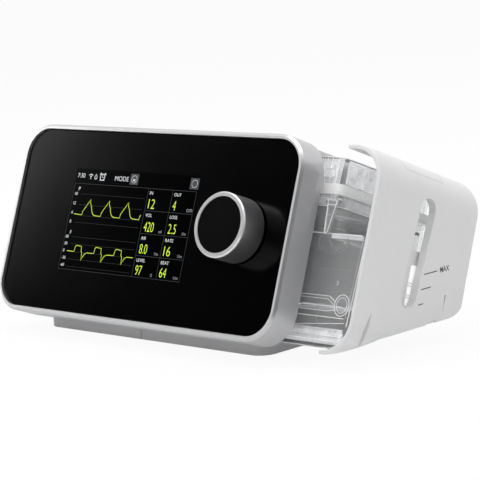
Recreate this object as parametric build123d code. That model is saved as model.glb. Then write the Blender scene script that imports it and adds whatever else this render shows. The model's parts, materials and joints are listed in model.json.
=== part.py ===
from build123d import *
import math
import os

# A bilevel PAP machine with a humidifier tank that slides out of its right side.
# All sizes are in millimetres.
#
# Two frames are used. The table frame has X to the right, Y to the back and Z up, with its
# zero on the table, straight under the middle of the front glass. The case frame leans back
# with the case: its X is the same, its Y runs up the front glass, and its Z points out of the
# glass at the user, with its zero in the middle of the glass. X is the same in both frames.

# Case
LEAN = 21.0
GLASS_CENTRE_HEIGHT = 61.9
CASE_WIDTH = 208.0
CASE_HEIGHT = 105.4
CASE_DEPTH = 102.5
CASE_CORNER = 18.5
REAR_ROUND = 7.0
REAR_FOOT_ROUND = 22.0
HOUSING_WALL = 2.5
REAR_COVER_DEPTH = 9.5
SEAM = 0.3

# Front
GLASS_WIDTH = 202.5
GLASS_HEIGHT = 100.0
GLASS_CORNER = 15.0
GLASS_THICKNESS = 1.6
GLASS_BEVEL = 0.5
GLASS_GAP = 0.1
BEZEL_DEPTH = 15.0
BEZEL_LIP = 1.5
BEZEL_CHAMFER = 1.35
CARRIER_DEPTH = 13.0
CARRIER_PLATE = 2.0
CARRIER_RIM = 3.0
DISPLAY_WIDTH = 105.5
DISPLAY_HEIGHT = 67.2
DISPLAY_THICKNESS = 3.0
DISPLAY_X = -12.0
DISPLAY_Y = 0.8
MAIN_BOARD_WIDTH = 186.0
MAIN_BOARD_HEIGHT = 78.0
BOARD_THICKNESS = 1.6
BOARD_DEPTH = 8.4

# Knob and the encoder that it turns
KNOB_X = 69.6
KNOB_Y = 2.0
KNOB_RADIUS = 16.8
KNOB_LENGTH = 15.1
KNOB_GAP = 1.2
KNOB_CHAMFER = 0.5
KNOB_WALL = 1.4
KNOB_FACE_RADIUS = 14.5
KNOB_FACE_THICKNESS = 1.2
KNOB_FACE_RECESS = 0.5
KNOB_HUB_RADIUS = 5.0
KNOB_TRAVEL = 0.8
SHAFT_RADIUS = 3.0
SHAFT_REACH = 11.0
RUNNING_GAP = 0.05
BUSHING_RADIUS = 4.5
BUSHING_REACH = 0.2
ENCODER_SIZE = 13.0
PLUNGER_RADIUS = 4.0
PLUNGER_THICKNESS = 0.6
PLUNGER_SLACK = 0.2

# Humidifier drawer, given in the closed place and pulled out to the right
DRAWER_OUT = 36.0
BAY_EDGE = 80.0
SHELL_WALL = 2.3
SHELL_EDGE = 0.9
SHELL_BOTTOM = 11.7
LIP_BOTTOM = 7.2
LIP_FRONT_Y = -7.0
LIP_REAR_Y = 22.5
LIP_ROUND = 30.0
LIP_END_X = 86.0
LIP_TOP_Y = -13.0
SLOT_LENGTH = 56.6
SLOT_WIDTH = 12.4
SLOT_Y = 7.2
SLOT_Z = -55.1
SLOT_TILT = 4.0
COLLAR_DEPTH = 4.6
COLLAR_WALL = 1.4
GRIP_DEPTH = 4.5
GRIP_RAMP = 12.0
GRIP_TOP_Y = -27.6
GRIP_FOOT_Y = -47.0
GRIP_Z = -27.3
GRIP_WALL = 2.2
NOTCH_DEPTH = 1.6
NOTCH_RAMP = 2.4
NOTCH_TOP_Y = -8.6
NOTCH_FOOT_Y = -19.0
NOTCH_Z = -83.4
STRIP_FRONT = 57.0
STRIP_REAR = 65.0
STRIP_HEIGHT = 1.2
STRIP_DEPTH = 1.2

# Tank
TANK_WALL = 2.0
TANK_LEFT = 5.0
TANK_RIGHT = 97.0
TANK_FOOT_RIGHT = 94.5
TANK_FOOT_Y = -40.0
TANK_FRONT = -20.0
TANK_REAR_GAP = 4.5
TANK_CORNER = 5.0
TANK_FOOT_ROUND = 18.0
TANK_SHOULDER_Y = 8.0
TANK_PAD_HEIGHT = 8.0
TANK_PAD_WIDTH = 10.0
FRONT_PAD_Z = -38.0
REAR_PAD_Z = -78.0
NECK_RIGHT = 76.0
NECK_CORNER = 3.4
NECK_REAR_INSET = 2.0
RIM_Y = 27.5
RIM_THICKNESS = 2.0
RIM_OVERHANG = 2.0
GASKET_HEIGHT = 5.5
LID_TOP_Y = 46.5
LID_WALL = 1.8
FLOOR_GAP = 0.3
TANK_FLOOR = 1.4
PLATE_LENGTH = 70.0
PLATE_WIDTH = 52.0
PLATE_CORNER = 6.0
PLATE_FLANGE = 3.0
PLATE_THICKNESS = 1.0
PLATE_X = 49.0
PLATE_FORWARD = 4.9
BASE_SEAL_WIDTH = 3.0
BASE_SEAL_HEIGHT = 1.6
BAFFLE_Y = 21.5
BAFFLE_THICKNESS = 1.5
BAFFLE_HOLE = 11.0
TUBE_WALL = 1.5
INLET_TUBE_LENGTH = 30.0
OUTLET_TUBE_LENGTH = 22.0

# Lid hinge and lid latch
HINGE_Y = 30.3
HINGE_PIN_RADIUS = 1.0
HINGE_LUG_RADIUS = 2.0
HINGE_LUG_LENGTH = 8.0
HINGE_EAR_LENGTH = 4.0
LATCH_X = 75.2
LATCH_WIDTH = 6.1
LATCH_LENGTH = 16.5
LATCH_TIP_RADIUS = 1.2
LATCH_THICKNESS = 1.6
LATCH_BARREL = 1.6
LATCH_PIN_RADIUS = 0.8
LATCH_PIVOT_Y = 23.4
LATCH_EAR = 1.2
LATCH_GAP = 0.4

# Release button of the drawer
BUTTON_LEFT = 91.0
BUTTON_RIGHT = 99.3
BUTTON_FRONT = -39.5
BUTTON_REAR = -70.0
BUTTON_GAP = 0.3
BUTTON_DEPTH = 3.0
RELEASE_TRAVEL = 1.5
HOOK_FRONT = -49.0
HOOK_REAR = -60.0
HOOK_ARM_TOP = 48.2
HOOK_ARM = 1.5
HOOK_NOSE_LEFT = 78.0
HOOK_NOSE_WIDTH = 1.2
HOOK_FREE = 0.8
CATCH_CLEARANCE = 0.4

# Base under the case
BASE_LEFT = -82.0
BASE_RIGHT = 82.0
BASE_FRONT = -0.5
BASE_REAR = 80.0
BASE_BOTTOM = 0.8
BASE_TOP = 8.6
BASE_CORNER = 9.0
BASE_WALL = 2.2
BASE_SEAM_X = -6.4
BASE_SEAM = 0.5
FOOT_RADIUS = 6.0
FOOT_THICKNESS = 1.6
FOOT_INSET = 13.0
BASE_BOSS_RADIUS = 4.0
BASE_BOSS_INSET = 26.0
SCREW_RADIUS = 1.4
SCREW_HEAD_RADIUS = 2.6
SCREW_HEAD = 1.5
SCREW_LENGTH = 9.5

# Heater in the right half of the base
HEATER_LENGTH = 62.0
HEATER_WIDTH = 50.0
HEATER_CORNER = 6.0
HEATER_X = 44.0
HEATER_PROUD = 0.3
HEATER_THICKNESS = 2.2
HEATER_GAP = 0.3
ELEMENT_THICKNESS = 0.4

# Wall of the tank bay and the rails in the bay
BAY_WALL = 2.2
RAIL_HEIGHT = 3.4
RAIL_Y = 21.8
RAIL_GAP = 0.4
SEAL_THICKNESS = 2.4
SEAL_WIDTH = 3.4

# Blower
BLOWER_X = -62.0
BLOWER_Y = 57.5
BLOWER_RADIUS = 31.0
BLOWER_WALL = 2.5
BLOWER_BOTTOM = 38.0
BLOWER_SPLIT = 57.0
BLOWER_TOP = 76.0
BLOWER_LID = 3.5
BLOWER_INLET = 12.0
CAVITY_DEPTH = 5.0
MOTOR_RADIUS = 13.0
MOTOR_HEIGHT = 11.5
MOTOR_GAP = 0.2
MOTOR_SHAFT_RADIUS = 1.5
IMPELLER_RADIUS = 25.0
IMPELLER_DISC = 1.5
IMPELLER_BLADES = 11
BLADE_THICKNESS = 1.2
BLADE_HEIGHT = 13.5
BLADE_LEAN = 28.0
HUB_RADIUS = 5.0
DUCT_RADIUS = 6.0
DUCT_WALL = 1.5
DUCT_Y = 42.0
DUCT_Z = 66.0
NOZZLE_END = -22.0
MOUNT_HEIGHT = 8.0
MOUNT_RADIUS = 5.0
MOUNT_GROOVE = 1.5
MOUNT_CIRCLE = 24.0
POST_RADIUS = 4.0
FOAM_LENGTH = 50.0
FOAM_HEIGHT = 6.0
FOAM_FRONT = 27.5
FOAM_REAR = 73.5

# Way out of the air
OUTLET_X = -14.0
OUTLET_OVER_FOOT = 5.7
OUTLET_RADIUS = 11.0
OUTLET_BORE = 9.3
OUTLET_SEAT = 12.0
OUTLET_REACH = 20.0
OUTLET_FLANGE = 13.0
OUTLET_FLANGE_THICKNESS = 2.0
MANIFOLD_LEFT = -28.0
MANIFOLD_HEIGHT = 24.0
MANIFOLD_FRONT = -72.0
MANIFOLD_WALL = 2.0
MANIFOLD_STEP = 0.6
RETURN_RADIUS = 7.0
RETURN_Z = -82.0
SENSOR_SIZE = 12.0

# Air filter and its cover in the rear wall
FILTER_X = -58.0
FILTER_Y = 21.0
COVER_WIDTH = 44.0
COVER_HEIGHT = 30.0
COVER_GAP = 0.3
COVER_SLOTS = 7
SLOT_PITCH = 5.2
GRILLE_SLOT = 2.0
FILTER_THICKNESS = 5.5
FRAME_WIDTH = 4.0
FRAME_LIP = 1.2
FRAME_REST = 2.0
HINGE_WIRE = 0.6
WIRE_SEAT = 2.0

# Data port behind a flap in the left wall
PORT_Y = 1.0
PORT_HEIGHT = 14.0
PORT_FRONT = -20.0
PORT_REAR = -42.0
SOCKET_WIDTH = 14.6
SOCKET_HEIGHT = 7.2
SOCKET_DEPTH = 13.0
SOCKET_WALL = 1.1
PORT_BOARD_WIDTH = 13.0
PORT_BOARD_OVERLAP = 4.0

# Power inlet in the rear wall
INLET_X = -90.0
INLET_Y = 20.0
INLET_RADIUS = 6.0
INLET_BORE = 2.8
INLET_BORE_DEPTH = 10.0
INLET_LENGTH = 14.0
INLET_FLANGE = 7.5
INLET_FLANGE_THICKNESS = 1.2

# Start button in the roof
START_X = -60.0
START_Z = -37.0
START_RADIUS = 7.0
START_GAP = 0.3
START_PROUD = 0.4
START_FLANGE = 8.4
START_FLANGE_THICKNESS = 0.9
START_TRAVEL = 1.0
SWITCH_SIZE = 6.0
SWITCH_HEIGHT = 2.6
SWITCH_BOARD_LENGTH = 30.0
SWITCH_BOARD_WIDTH = 14.0
SWITCH_POST_RADIUS = 2.0

# Electronics on the housing floor
POWER_BOARD_WIDTH = 27.0
POWER_BOARD_LENGTH = 66.0
POWER_BOARD_X = -21.5
POWER_BOARD_Y = 46.0
STANDOFF_HEIGHT = 4.4
STANDOFF_RADIUS = 2.8
SPEAKER_RADIUS = 9.0
SPEAKER_HEIGHT = 4.0
SPEAKER_X = -88.0
SPEAKER_Y = 24.0

# Values that follow from the ones above
LEAN_SIN = math.sin(math.radians(LEAN))
LEAN_COS = math.cos(math.radians(LEAN))
CASE = Plane(
    origin=(0, 0, GLASS_CENTRE_HEIGHT),
    x_dir=(1, 0, 0),
    z_dir=(0, -LEAN_COS, LEAN_SIN),
).location
HALF_WIDTH = CASE_WIDTH / 2
HALF_HEIGHT = CASE_HEIGHT / 2
CASE_FRONT = -BEZEL_DEPTH - SEAM
CASE_REAR = -CASE_DEPTH
INNER_REAR = CASE_REAR + HOUSING_WALL
TANK_REAR = INNER_REAR + TANK_REAR_GAP
TANK_BEHIND = TANK_REAR - CASE_REAR
ROOF = HALF_HEIGHT - HOUSING_WALL
LEFT_WALL = -HALF_WIDTH + HOUSING_WALL
FLOOR_TOP = BASE_TOP + HOUSING_WALL
TANK_BOTTOM = BASE_TOP + HEATER_PROUD + FLOOR_GAP
TANK_FLOOR_TOP = TANK_BOTTOM + TANK_FLOOR
NECK_FRONT = TANK_FRONT
NECK_REAR = TANK_REAR + NECK_REAR_INSET
GASKET_TOP = RIM_Y + GASKET_HEIGHT
HOOK_NOSE_TOP = ROOF + RELEASE_TRAVEL - HOOK_FREE
SWITCH_DEPTH = SEAM + START_FLANGE_THICKNESS + START_TRAVEL + SEAM + SWITCH_HEIGHT
HINGE_Z = TANK_REAR - HINGE_LUG_RADIUS
LATCH_Z = NECK_FRONT + LATCH_BARREL + LATCH_GAP
BOARD_BACK = -BOARD_DEPTH
BOARD_FRONT = BOARD_BACK + BOARD_THICKNESS
ENCODER_FRONT = -GLASS_THICKNESS - 0.4
PLUNGER_BACK = BOARD_FRONT + 0.4 + KNOB_TRAVEL + PLUNGER_SLACK
PLUNGER_FRONT = PLUNGER_BACK + PLUNGER_THICKNESS
REAR_FOOT_Y = (BASE_TOP - GLASS_CENTRE_HEIGHT - CASE_REAR * LEAN_SIN) / LEAN_COS
FOOT_TANGENT = REAR_FOOT_ROUND / math.tan(math.radians((90 + LEAN) / 2))
OUTLET_Y = REAR_FOOT_Y + FOOT_TANGENT + OUTLET_FLANGE + OUTLET_OVER_FOOT
TANK_FOOT_MIDDLE = (TANK_FRONT + TANK_REAR) / 2
PLATE_Y = (TANK_BOTTOM - GLASS_CENTRE_HEIGHT) * LEAN_SIN / LEAN_COS - TANK_FOOT_MIDDLE / LEAN_COS - PLATE_FORWARD
HEATER_Y = PLATE_Y
REACH = 400.0


def block(x0, x1, y0, y1, z0, z1):
    """A box between two opposite corners."""
    middle = Pos((x0 + x1) / 2, (y0 + y1) / 2, (z0 + z1) / 2)
    return middle * Box(x1 - x0, y1 - y0, z1 - z0)


def slab(width, height, corner, z0, z1, x=0.0, y=0.0):
    """A plate with rounded corners that lies in the X-Y plane from z0 to z1."""
    return Pos(x, y, z0) * extrude(RectangleRounded(width, height, corner), z1 - z0)


def rod(radius, start, end):
    """A round bar from one point to another."""
    along = Vector(*end) - Vector(*start)
    return Plane(origin=start, z_dir=along) * extrude(Circle(radius), along.length)


def pipe(outer, inner, start, end):
    """A round tube from one point to another."""
    along = Vector(*end) - Vector(*start)
    ring = Circle(outer) - Circle(inner)
    return Plane(origin=start, z_dir=along) * extrude(ring, along.length)


def lean(shape):
    """Takes a shape from the case frame to the table frame."""
    return CASE * shape


def pull(shape):
    """Moves a shape from the closed place of the drawer to where the drawer stands."""
    return Pos(DRAWER_OUT, 0, 0) * shape


def to_table(y, z):
    """The table frame's Y and Z of a point that is given in the case frame."""
    table_y = y * LEAN_SIN - z * LEAN_COS
    return table_y, GLASS_CENTRE_HEIGHT + y * LEAN_COS + z * LEAN_SIN


def to_case(y, z):
    """The case frame's Y and Z of a point that is given in the table frame."""
    height = z - GLASS_CENTRE_HEIGHT
    return y * LEAN_SIN + height * LEAN_COS, height * LEAN_SIN - y * LEAN_COS


def case_solid(inset=0.0, front=CASE_FRONT):
    """The rounded block of the case in its own frame, with its rear edges rounded."""
    body = slab(
        CASE_WIDTH - 2 * inset,
        CASE_HEIGHT - 2 * inset,
        CASE_CORNER - inset,
        CASE_REAR + inset,
        front,
    )
    rear = body.edges().group_by(Axis.Z)[0]
    return fillet(rear, REAR_ROUND - inset)


def rear_line_y(height, inset=0.0):
    """Where the case's rear face, or a face that far in front of it, stands at a height."""
    z = CASE_REAR + inset
    y = (height - GLASS_CENTRE_HEIGHT - z * LEAN_SIN) / LEAN_COS
    return to_table(y, z)[0]


def side_outline(bottom, inset=0.0, foot_round=REAR_FOOT_ROUND, lip=False):
    """Everything over an underside, with its rear corner rounded, in the table frame."""
    corner = (rear_line_y(bottom, inset), bottom)
    top = GLASS_CENTRE_HEIGHT + CASE_HEIGHT
    front = [(-REACH / 4, bottom)]
    if lip:
        front = [(-REACH / 4, LIP_BOTTOM), (LIP_FRONT_Y, LIP_BOTTOM), (LIP_REAR_Y, bottom)]
    points = front + [corner, (rear_line_y(top, inset), top), (-REACH / 4, top)]
    profile = make_face(Polyline(*points, close=True))
    foot = profile.vertices().sort_by_distance((corner[0], corner[1], 0))[:1]
    profile = fillet(foot, foot_round)
    for point in front[1:]:
        knee = profile.vertices().sort_by_distance((point[0], point[1], 0))[:1]
        profile = fillet(knee, LIP_ROUND)
    across = Plane(origin=(-REACH / 2, 0, 0), x_dir=(0, 1, 0), z_dir=(1, 0, 0))
    return across * extrude(profile, REACH)


# Front


def bezel():
    """The satin metal frame round the glass."""
    outer = slab(CASE_WIDTH, CASE_HEIGHT, CASE_CORNER, -BEZEL_DEPTH, BEZEL_LIP)
    outer = chamfer(outer.edges().group_by(Axis.Z)[-1], BEZEL_CHAMFER)
    window = slab(
        GLASS_WIDTH + 2 * GLASS_GAP,
        GLASS_HEIGHT + 2 * GLASS_GAP,
        GLASS_CORNER + GLASS_GAP,
        -BEZEL_DEPTH - 1,
        BEZEL_LIP + 1,
    )
    return lean(outer - window)


def front_glass():
    """The black glass, with a hole for the encoder's bushing."""
    glass = slab(GLASS_WIDTH, GLASS_HEIGHT, GLASS_CORNER, -GLASS_THICKNESS, 0)
    glass = chamfer(glass.edges().group_by(Axis.Z)[-1], GLASS_BEVEL)
    hole = rod(BUSHING_RADIUS, (KNOB_X, KNOB_Y, -REACH), (KNOB_X, KNOB_Y, REACH))
    return lean(glass - hole)


def front_carrier():
    """The tray behind the glass, which holds the display and the main board."""
    back = -CARRIER_DEPTH
    tray = slab(GLASS_WIDTH, GLASS_HEIGHT, GLASS_CORNER, back, -GLASS_THICKNESS)
    hollow = slab(
        GLASS_WIDTH - 2 * CARRIER_RIM,
        GLASS_HEIGHT - 2 * CARRIER_RIM,
        GLASS_CORNER - CARRIER_RIM,
        back + CARRIER_PLATE,
        0,
    )
    tray = tray - hollow
    for x, y in board_holes():
        tray += rod(STANDOFF_RADIUS, (x, y, back), (x, y, BOARD_BACK))
    return lean(tray)


def board_holes():
    """Where the main board's four screw posts stand in the case frame."""
    x = MAIN_BOARD_WIDTH / 2 - STANDOFF_RADIUS - 1
    y = MAIN_BOARD_HEIGHT / 2 - STANDOFF_RADIUS - 1
    return [(sx * x, sy * y) for sx in (-1, 1) for sy in (-1, 1)]


def display_module():
    """The colour display on the back of the glass."""
    back = -GLASS_THICKNESS - DISPLAY_THICKNESS
    panel = slab(
        DISPLAY_WIDTH, DISPLAY_HEIGHT, 1.0, back, -GLASS_THICKNESS, DISPLAY_X, DISPLAY_Y
    )
    return lean(panel)


def main_board():
    """The circuit board behind the display, with its larger components."""
    board = slab(MAIN_BOARD_WIDTH, MAIN_BOARD_HEIGHT, 3.0, BOARD_BACK, BOARD_FRONT)
    for x, y in board_holes():
        board -= rod(SCREW_RADIUS, (x, y, -REACH), (x, y, REACH))
    display_left = DISPLAY_X - DISPLAY_WIDTH / 2
    for y in (-24.0, -6.0, 12.0):
        x = display_left - 12.0
        board += block(x - 6, x + 6, y, y + 11, BOARD_FRONT, BOARD_FRONT + 2.4)
    return lean(board)


def encoder_body():
    """The rotary encoder on the board, with the bushing that guides its shaft."""
    half = ENCODER_SIZE / 2
    body = block(-half, half, -half, half, BOARD_FRONT, ENCODER_FRONT)
    body += rod(BUSHING_RADIUS - GLASS_GAP, (0, 0, ENCODER_FRONT), (0, 0, BUSHING_REACH))
    body -= rod(SHAFT_RADIUS + RUNNING_GAP, (0, 0, PLUNGER_FRONT), (0, 0, REACH))
    pocket = PLUNGER_RADIUS + SEAM
    body -= rod(pocket, (0, 0, BOARD_FRONT + 0.4), (0, 0, PLUNGER_FRONT + SEAM))
    return lean(Pos(KNOB_X, KNOB_Y, 0) * body)


def encoder_plunger():
    """The disc under the shaft, which the knob pushes in to click."""
    disc = rod(PLUNGER_RADIUS, (0, 0, PLUNGER_BACK), (0, 0, PLUNGER_FRONT))
    return lean(Pos(KNOB_X, KNOB_Y, 0) * disc)


def knob_shaft():
    """The encoder's shaft."""
    shaft = rod(SHAFT_RADIUS, (0, 0, PLUNGER_FRONT), (0, 0, SHAFT_REACH))
    return lean(Pos(KNOB_X, KNOB_Y, 0) * shaft)


def knob_body():
    """The hollow metal knob, with a hub that grips the shaft."""
    front = KNOB_GAP + KNOB_LENGTH
    body = rod(KNOB_RADIUS, (0, 0, KNOB_GAP), (0, 0, front))
    body = chamfer(body.edges().group_by(Axis.Z)[-1], KNOB_CHAMFER)
    recess = KNOB_FACE_THICKNESS + KNOB_FACE_RECESS
    body -= rod(KNOB_FACE_RADIUS, (0, 0, front - recess), (0, 0, front + 1))
    inside = front - recess - KNOB_WALL
    hollow = rod(KNOB_RADIUS - KNOB_WALL, (0, 0, KNOB_GAP - 1), (0, 0, inside))
    hub = rod(KNOB_HUB_RADIUS, (0, 0, KNOB_GAP), (0, 0, inside))
    body -= hollow - hub
    body -= rod(SHAFT_RADIUS, (0, 0, 0), (0, 0, SHAFT_REACH))
    return lean(Pos(KNOB_X, KNOB_Y, 0) * body)


def knob_face():
    """The glossy black disc in the front of the knob."""
    front = KNOB_GAP + KNOB_LENGTH - KNOB_FACE_RECESS
    disc = rod(KNOB_FACE_RADIUS, (0, 0, front - KNOB_FACE_THICKNESS), (0, 0, front))
    return lean(Pos(KNOB_X, KNOB_Y, 0) * disc)


# Housing


def blower_posts():
    """Where the three posts under the blower stand on the housing floor."""
    angles = (30, 150, 270)
    return [
        (
            BLOWER_X + MOUNT_CIRCLE * math.cos(math.radians(angle)),
            BLOWER_Y + MOUNT_CIRCLE * math.sin(math.radians(angle)),
        )
        for angle in angles
    ]


def power_board_holes():
    """Where the power board's standoffs rise from the housing floor."""
    x = POWER_BOARD_WIDTH / 2 - STANDOFF_RADIUS
    y = POWER_BOARD_LENGTH / 2 - STANDOFF_RADIUS
    return [
        (POWER_BOARD_X + sx * x, POWER_BOARD_Y + sy * y)
        for sx in (-1, 1)
        for sy in (-1, 1)
    ]


def cover_opening(gap):
    """The opening for the filter cover in the rear wall, in the case frame."""
    width = COVER_WIDTH / 2 + gap
    height = COVER_HEIGHT / 2 + gap
    return block(
        FILTER_X - width,
        FILTER_X + width,
        FILTER_Y - height,
        FILTER_Y + height,
        CASE_REAR - 1,
        INNER_REAR + 1,
    )


def port_opening(gap):
    """The opening for the data port's flap in the left wall, in the case frame."""
    height = PORT_HEIGHT / 2 + gap
    return block(
        -HALF_WIDTH - 1,
        LEFT_WALL + 1,
        PORT_Y - height,
        PORT_Y + height,
        PORT_REAR - gap,
        PORT_FRONT + gap,
    )


def filter_hinge():
    """The axis of the filter cover's hinge: its Y and Z in the case frame."""
    radius = HOUSING_WALL / 2
    return FILTER_Y - COVER_HEIGHT / 2 + radius, CASE_REAR + radius


def port_hinge():
    """The axis of the port flap's hinge: its X and Y in the case frame."""
    radius = HOUSING_WALL / 2
    return -HALF_WIDTH + radius, PORT_Y - PORT_HEIGHT / 2 + radius


def filter_wire(radius):
    """The wire that the filter cover turns on."""
    y, z = filter_hinge()
    reach = COVER_WIDTH / 2 + COVER_GAP + WIRE_SEAT
    return rod(radius, (FILTER_X - reach, y, z), (FILTER_X + reach, y, z))


def port_wire(radius):
    """The wire that the port flap turns on."""
    x, y = port_hinge()
    start = PORT_REAR - COVER_GAP - WIRE_SEAT
    end = PORT_FRONT + COVER_GAP + WIRE_SEAT
    return rod(radius, (x, y, start), (x, y, end))


def switch_posts():
    """Where the posts of the start switch's board hang from the roof, in X and Z."""
    reach = SWITCH_BOARD_LENGTH / 2 - SWITCH_POST_RADIUS
    return [(START_X - reach, START_Z), (START_X + reach, START_Z)]


def case_shell():
    """The hollow case behind the bezel, over the floor of its left half, without any openings."""
    shell = lean(case_solid()) & side_outline(BASE_TOP)
    shell -= case_room(CASE_FRONT + 1)
    return shell & block(-REACH, BAY_EDGE, -REACH, REACH, -REACH, REACH)


def case_room(front):
    """The room inside the case, which is open to the base's deck in its right half."""
    inside = lean(case_solid(HOUSING_WALL, front))
    room = inside & side_outline(FLOOR_TOP, HOUSING_WALL, REAR_FOOT_ROUND - HOUSING_WALL)
    return room + (inside & block(-SEAM, REACH, -REACH, BASE_REAR + SEAM, 0, FLOOR_TOP + 1))


def rear_cover():
    """The rear wall with its rounded rim, which closes the housing."""
    split = CASE_REAR + REAR_COVER_DEPTH
    shell = case_shell() & lean(block(-REACH, REACH, -REACH, REACH, -REACH, split))
    shell -= lean(cover_opening(COVER_GAP))
    shell -= lean(filter_wire(HINGE_WIRE))
    outlet = (OUTLET_X, OUTLET_Y)
    shell -= lean(rod(OUTLET_SEAT, (*outlet, CASE_REAR - 1), (*outlet, INNER_REAR + 1)))
    inlet = (INLET_X, INLET_Y)
    return shell - lean(rod(INLET_RADIUS, (*inlet, CASE_REAR - 1), (*inlet, INNER_REAR + 1)))


def housing():
    """The case between the bezel and the rear cover: roof, left wall and the left half's floor."""
    split = CASE_REAR + REAR_COVER_DEPTH
    shell = case_shell() & lean(block(-REACH, REACH, -REACH, REACH, split, REACH))
    shell -= lean(port_opening(COVER_GAP))
    shell -= lean(port_wire(HINGE_WIRE))
    start = START_RADIUS + START_GAP
    shell -= lean(rod(start, (START_X, 0, START_Z), (START_X, REACH, START_Z)))
    for x, z in switch_posts():
        shell += lean(rod(SWITCH_POST_RADIUS, (x, ROOF, z), (x, ROOF - SWITCH_DEPTH, z)))
    for x, y in blower_posts():
        shell += rod(POST_RADIUS, (x, y, FLOOR_TOP), (x, y, BLOWER_BOTTOM - MOUNT_HEIGHT))
    for x, y in power_board_holes():
        shell += rod(STANDOFF_RADIUS, (x, y, FLOOR_TOP), (x, y, FLOOR_TOP + STANDOFF_HEIGHT))
    for x, y in base_screw_places():
        shell += rod(STANDOFF_RADIUS, (x, y, FLOOR_TOP), (x, y, FLOOR_TOP + STANDOFF_HEIGHT))
        shell -= rod(SCREW_RADIUS, (x, y, 0), (x, y, BASE_BOTTOM + SCREW_HEAD + SCREW_LENGTH))
    return shell - lean(catch_recess())


def catch_recess():
    """The groove under the roof's right end that the drawer's hook snaps into."""
    left = HOOK_NOSE_LEFT - CATCH_CLEARANCE
    right = HOOK_NOSE_LEFT + HOOK_NOSE_WIDTH + CATCH_CLEARANCE / 2
    rear = HOOK_REAR - CATCH_CLEARANCE
    front = HOOK_FRONT + CATCH_CLEARANCE
    top = HOOK_NOSE_TOP + CATCH_CLEARANCE
    return block(left, right, ROOF - 1, top, rear, front)


def bay_wall():
    """The wall between the blower's side and the tank bay, with two holes for the air."""
    wall = case_room(CASE_FRONT)
    wall &= block(0, BAY_WALL, -REACH, REACH, BASE_TOP, REACH)
    y, z = to_case(DUCT_Y, DUCT_Z)
    wall -= lean(rod(DUCT_RADIUS, (-1, y, z), (BAY_WALL + 1, y, z)))
    wall -= lean(rod(RETURN_RADIUS, (-1, OUTLET_Y, RETURN_Z), (BAY_WALL + 1, OUTLET_Y, RETURN_Z)))
    return wall


def drawer_rails():
    """Two rails that carry the tank's rim, one behind the front tray and one on the rear wall."""
    left = BAY_WALL + SEAL_THICKNESS + 1
    latch_left = ear_places()[0][0] - 1
    top = RAIL_Y + RAIL_HEIGHT
    front = block(left, latch_left, RAIL_Y, top, NECK_FRONT + RAIL_GAP, -CARRIER_DEPTH)
    rear = block(left, BAY_EDGE - 2, RAIL_Y, top, INNER_REAR, NECK_REAR - RAIL_GAP)
    return lean(Compound([front, rear]))


def port_seals():
    """Soft rings on the bay wall, which the tank's two air ports press on."""
    y, z = to_case(DUCT_Y, DUCT_Z)
    right = BAY_WALL + SEAL_THICKNESS
    into = pipe(DUCT_RADIUS + SEAL_WIDTH, DUCT_RADIUS, (BAY_WALL, y, z), (right, y, z))
    back = (OUTLET_Y, RETURN_Z)
    out = pipe(RETURN_RADIUS + SEAL_WIDTH, RETURN_RADIUS, (BAY_WALL, *back), (right, *back))
    return lean(Compound([into, out]))


# Base


def base_half(left, right, round_left):
    """Gives a function that makes a plate with the outline of one half of the base."""

    def plate(inset, z0, z1):
        front = BASE_FRONT + inset
        body = block(left + inset, right - inset, front, BASE_REAR - inset, z0, z1)
        upright = body.edges().filter_by(Axis.Z).group_by(Axis.X)
        outer = upright[0] if round_left else upright[-1]
        return fillet(outer, BASE_CORNER - inset)

    return plate


def foot_places(left, right):
    """Where two feet stand under one half of the base."""
    x = left + FOOT_INSET if left == BASE_LEFT else right - FOOT_INSET
    return [(x, BASE_FRONT + FOOT_INSET), (x, BASE_REAR - FOOT_INSET)]


def base_screw_places():
    """Where the screws go up through the left half of the base into the housing."""
    left = BASE_LEFT + BASE_BOSS_INSET
    right = BASE_SEAM_X - BASE_BOSS_INSET
    front = BASE_FRONT + FOOT_INSET
    rear = BASE_REAR - FOOT_INSET / 2
    return [(left, front), (right, front), (left - 3, rear), (right, rear)]


def foot_pockets(body, places):
    """Cuts the shallow round pockets that hold the feet."""
    for x, y in places:
        body -= rod(FOOT_RADIUS, (x, y, 0), (x, y, FOOT_THICKNESS))
    return body


def base_left():
    """The left half of the base, under the main unit."""
    right = BASE_SEAM_X - BASE_SEAM / 2
    plate = base_half(BASE_LEFT, right, True)
    body = plate(0, BASE_BOTTOM, BASE_TOP)
    body -= plate(BASE_WALL, BASE_BOTTOM + BASE_WALL, BASE_TOP + 1)
    for x, y in base_screw_places():
        body += rod(BASE_BOSS_RADIUS, (x, y, BASE_BOTTOM), (x, y, BASE_TOP))
        body -= rod(SCREW_RADIUS, (x, y, 0), (x, y, REACH))
        body -= rod(SCREW_HEAD_RADIUS, (x, y, 0), (x, y, BASE_BOTTOM + SCREW_HEAD))
    return foot_pockets(body, foot_places(BASE_LEFT, right))


def base_right():
    """The right half of the base, with a deck that the tank slides over."""
    left = BASE_SEAM_X + BASE_SEAM / 2
    plate = base_half(left, BASE_RIGHT, False)
    body = plate(0, BASE_BOTTOM, BASE_TOP)
    body -= plate(BASE_WALL, BASE_BOTTOM + BASE_WALL, BASE_TOP - BASE_WALL)
    window = slab(
        HEATER_LENGTH + 2 * HEATER_GAP,
        HEATER_WIDTH + 2 * HEATER_GAP,
        HEATER_CORNER + HEATER_GAP,
        BASE_TOP - BASE_WALL - 1,
        BASE_TOP + 1,
        HEATER_X,
        HEATER_Y,
    )
    return foot_pockets(body - window, foot_places(left, BASE_RIGHT))


def rubber_feet():
    """Four round rubber feet."""
    places = foot_places(BASE_LEFT, 0) + foot_places(0, BASE_RIGHT)
    return Compound([rod(FOOT_RADIUS, (x, y, 0), (x, y, FOOT_THICKNESS)) for x, y in places])


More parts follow.
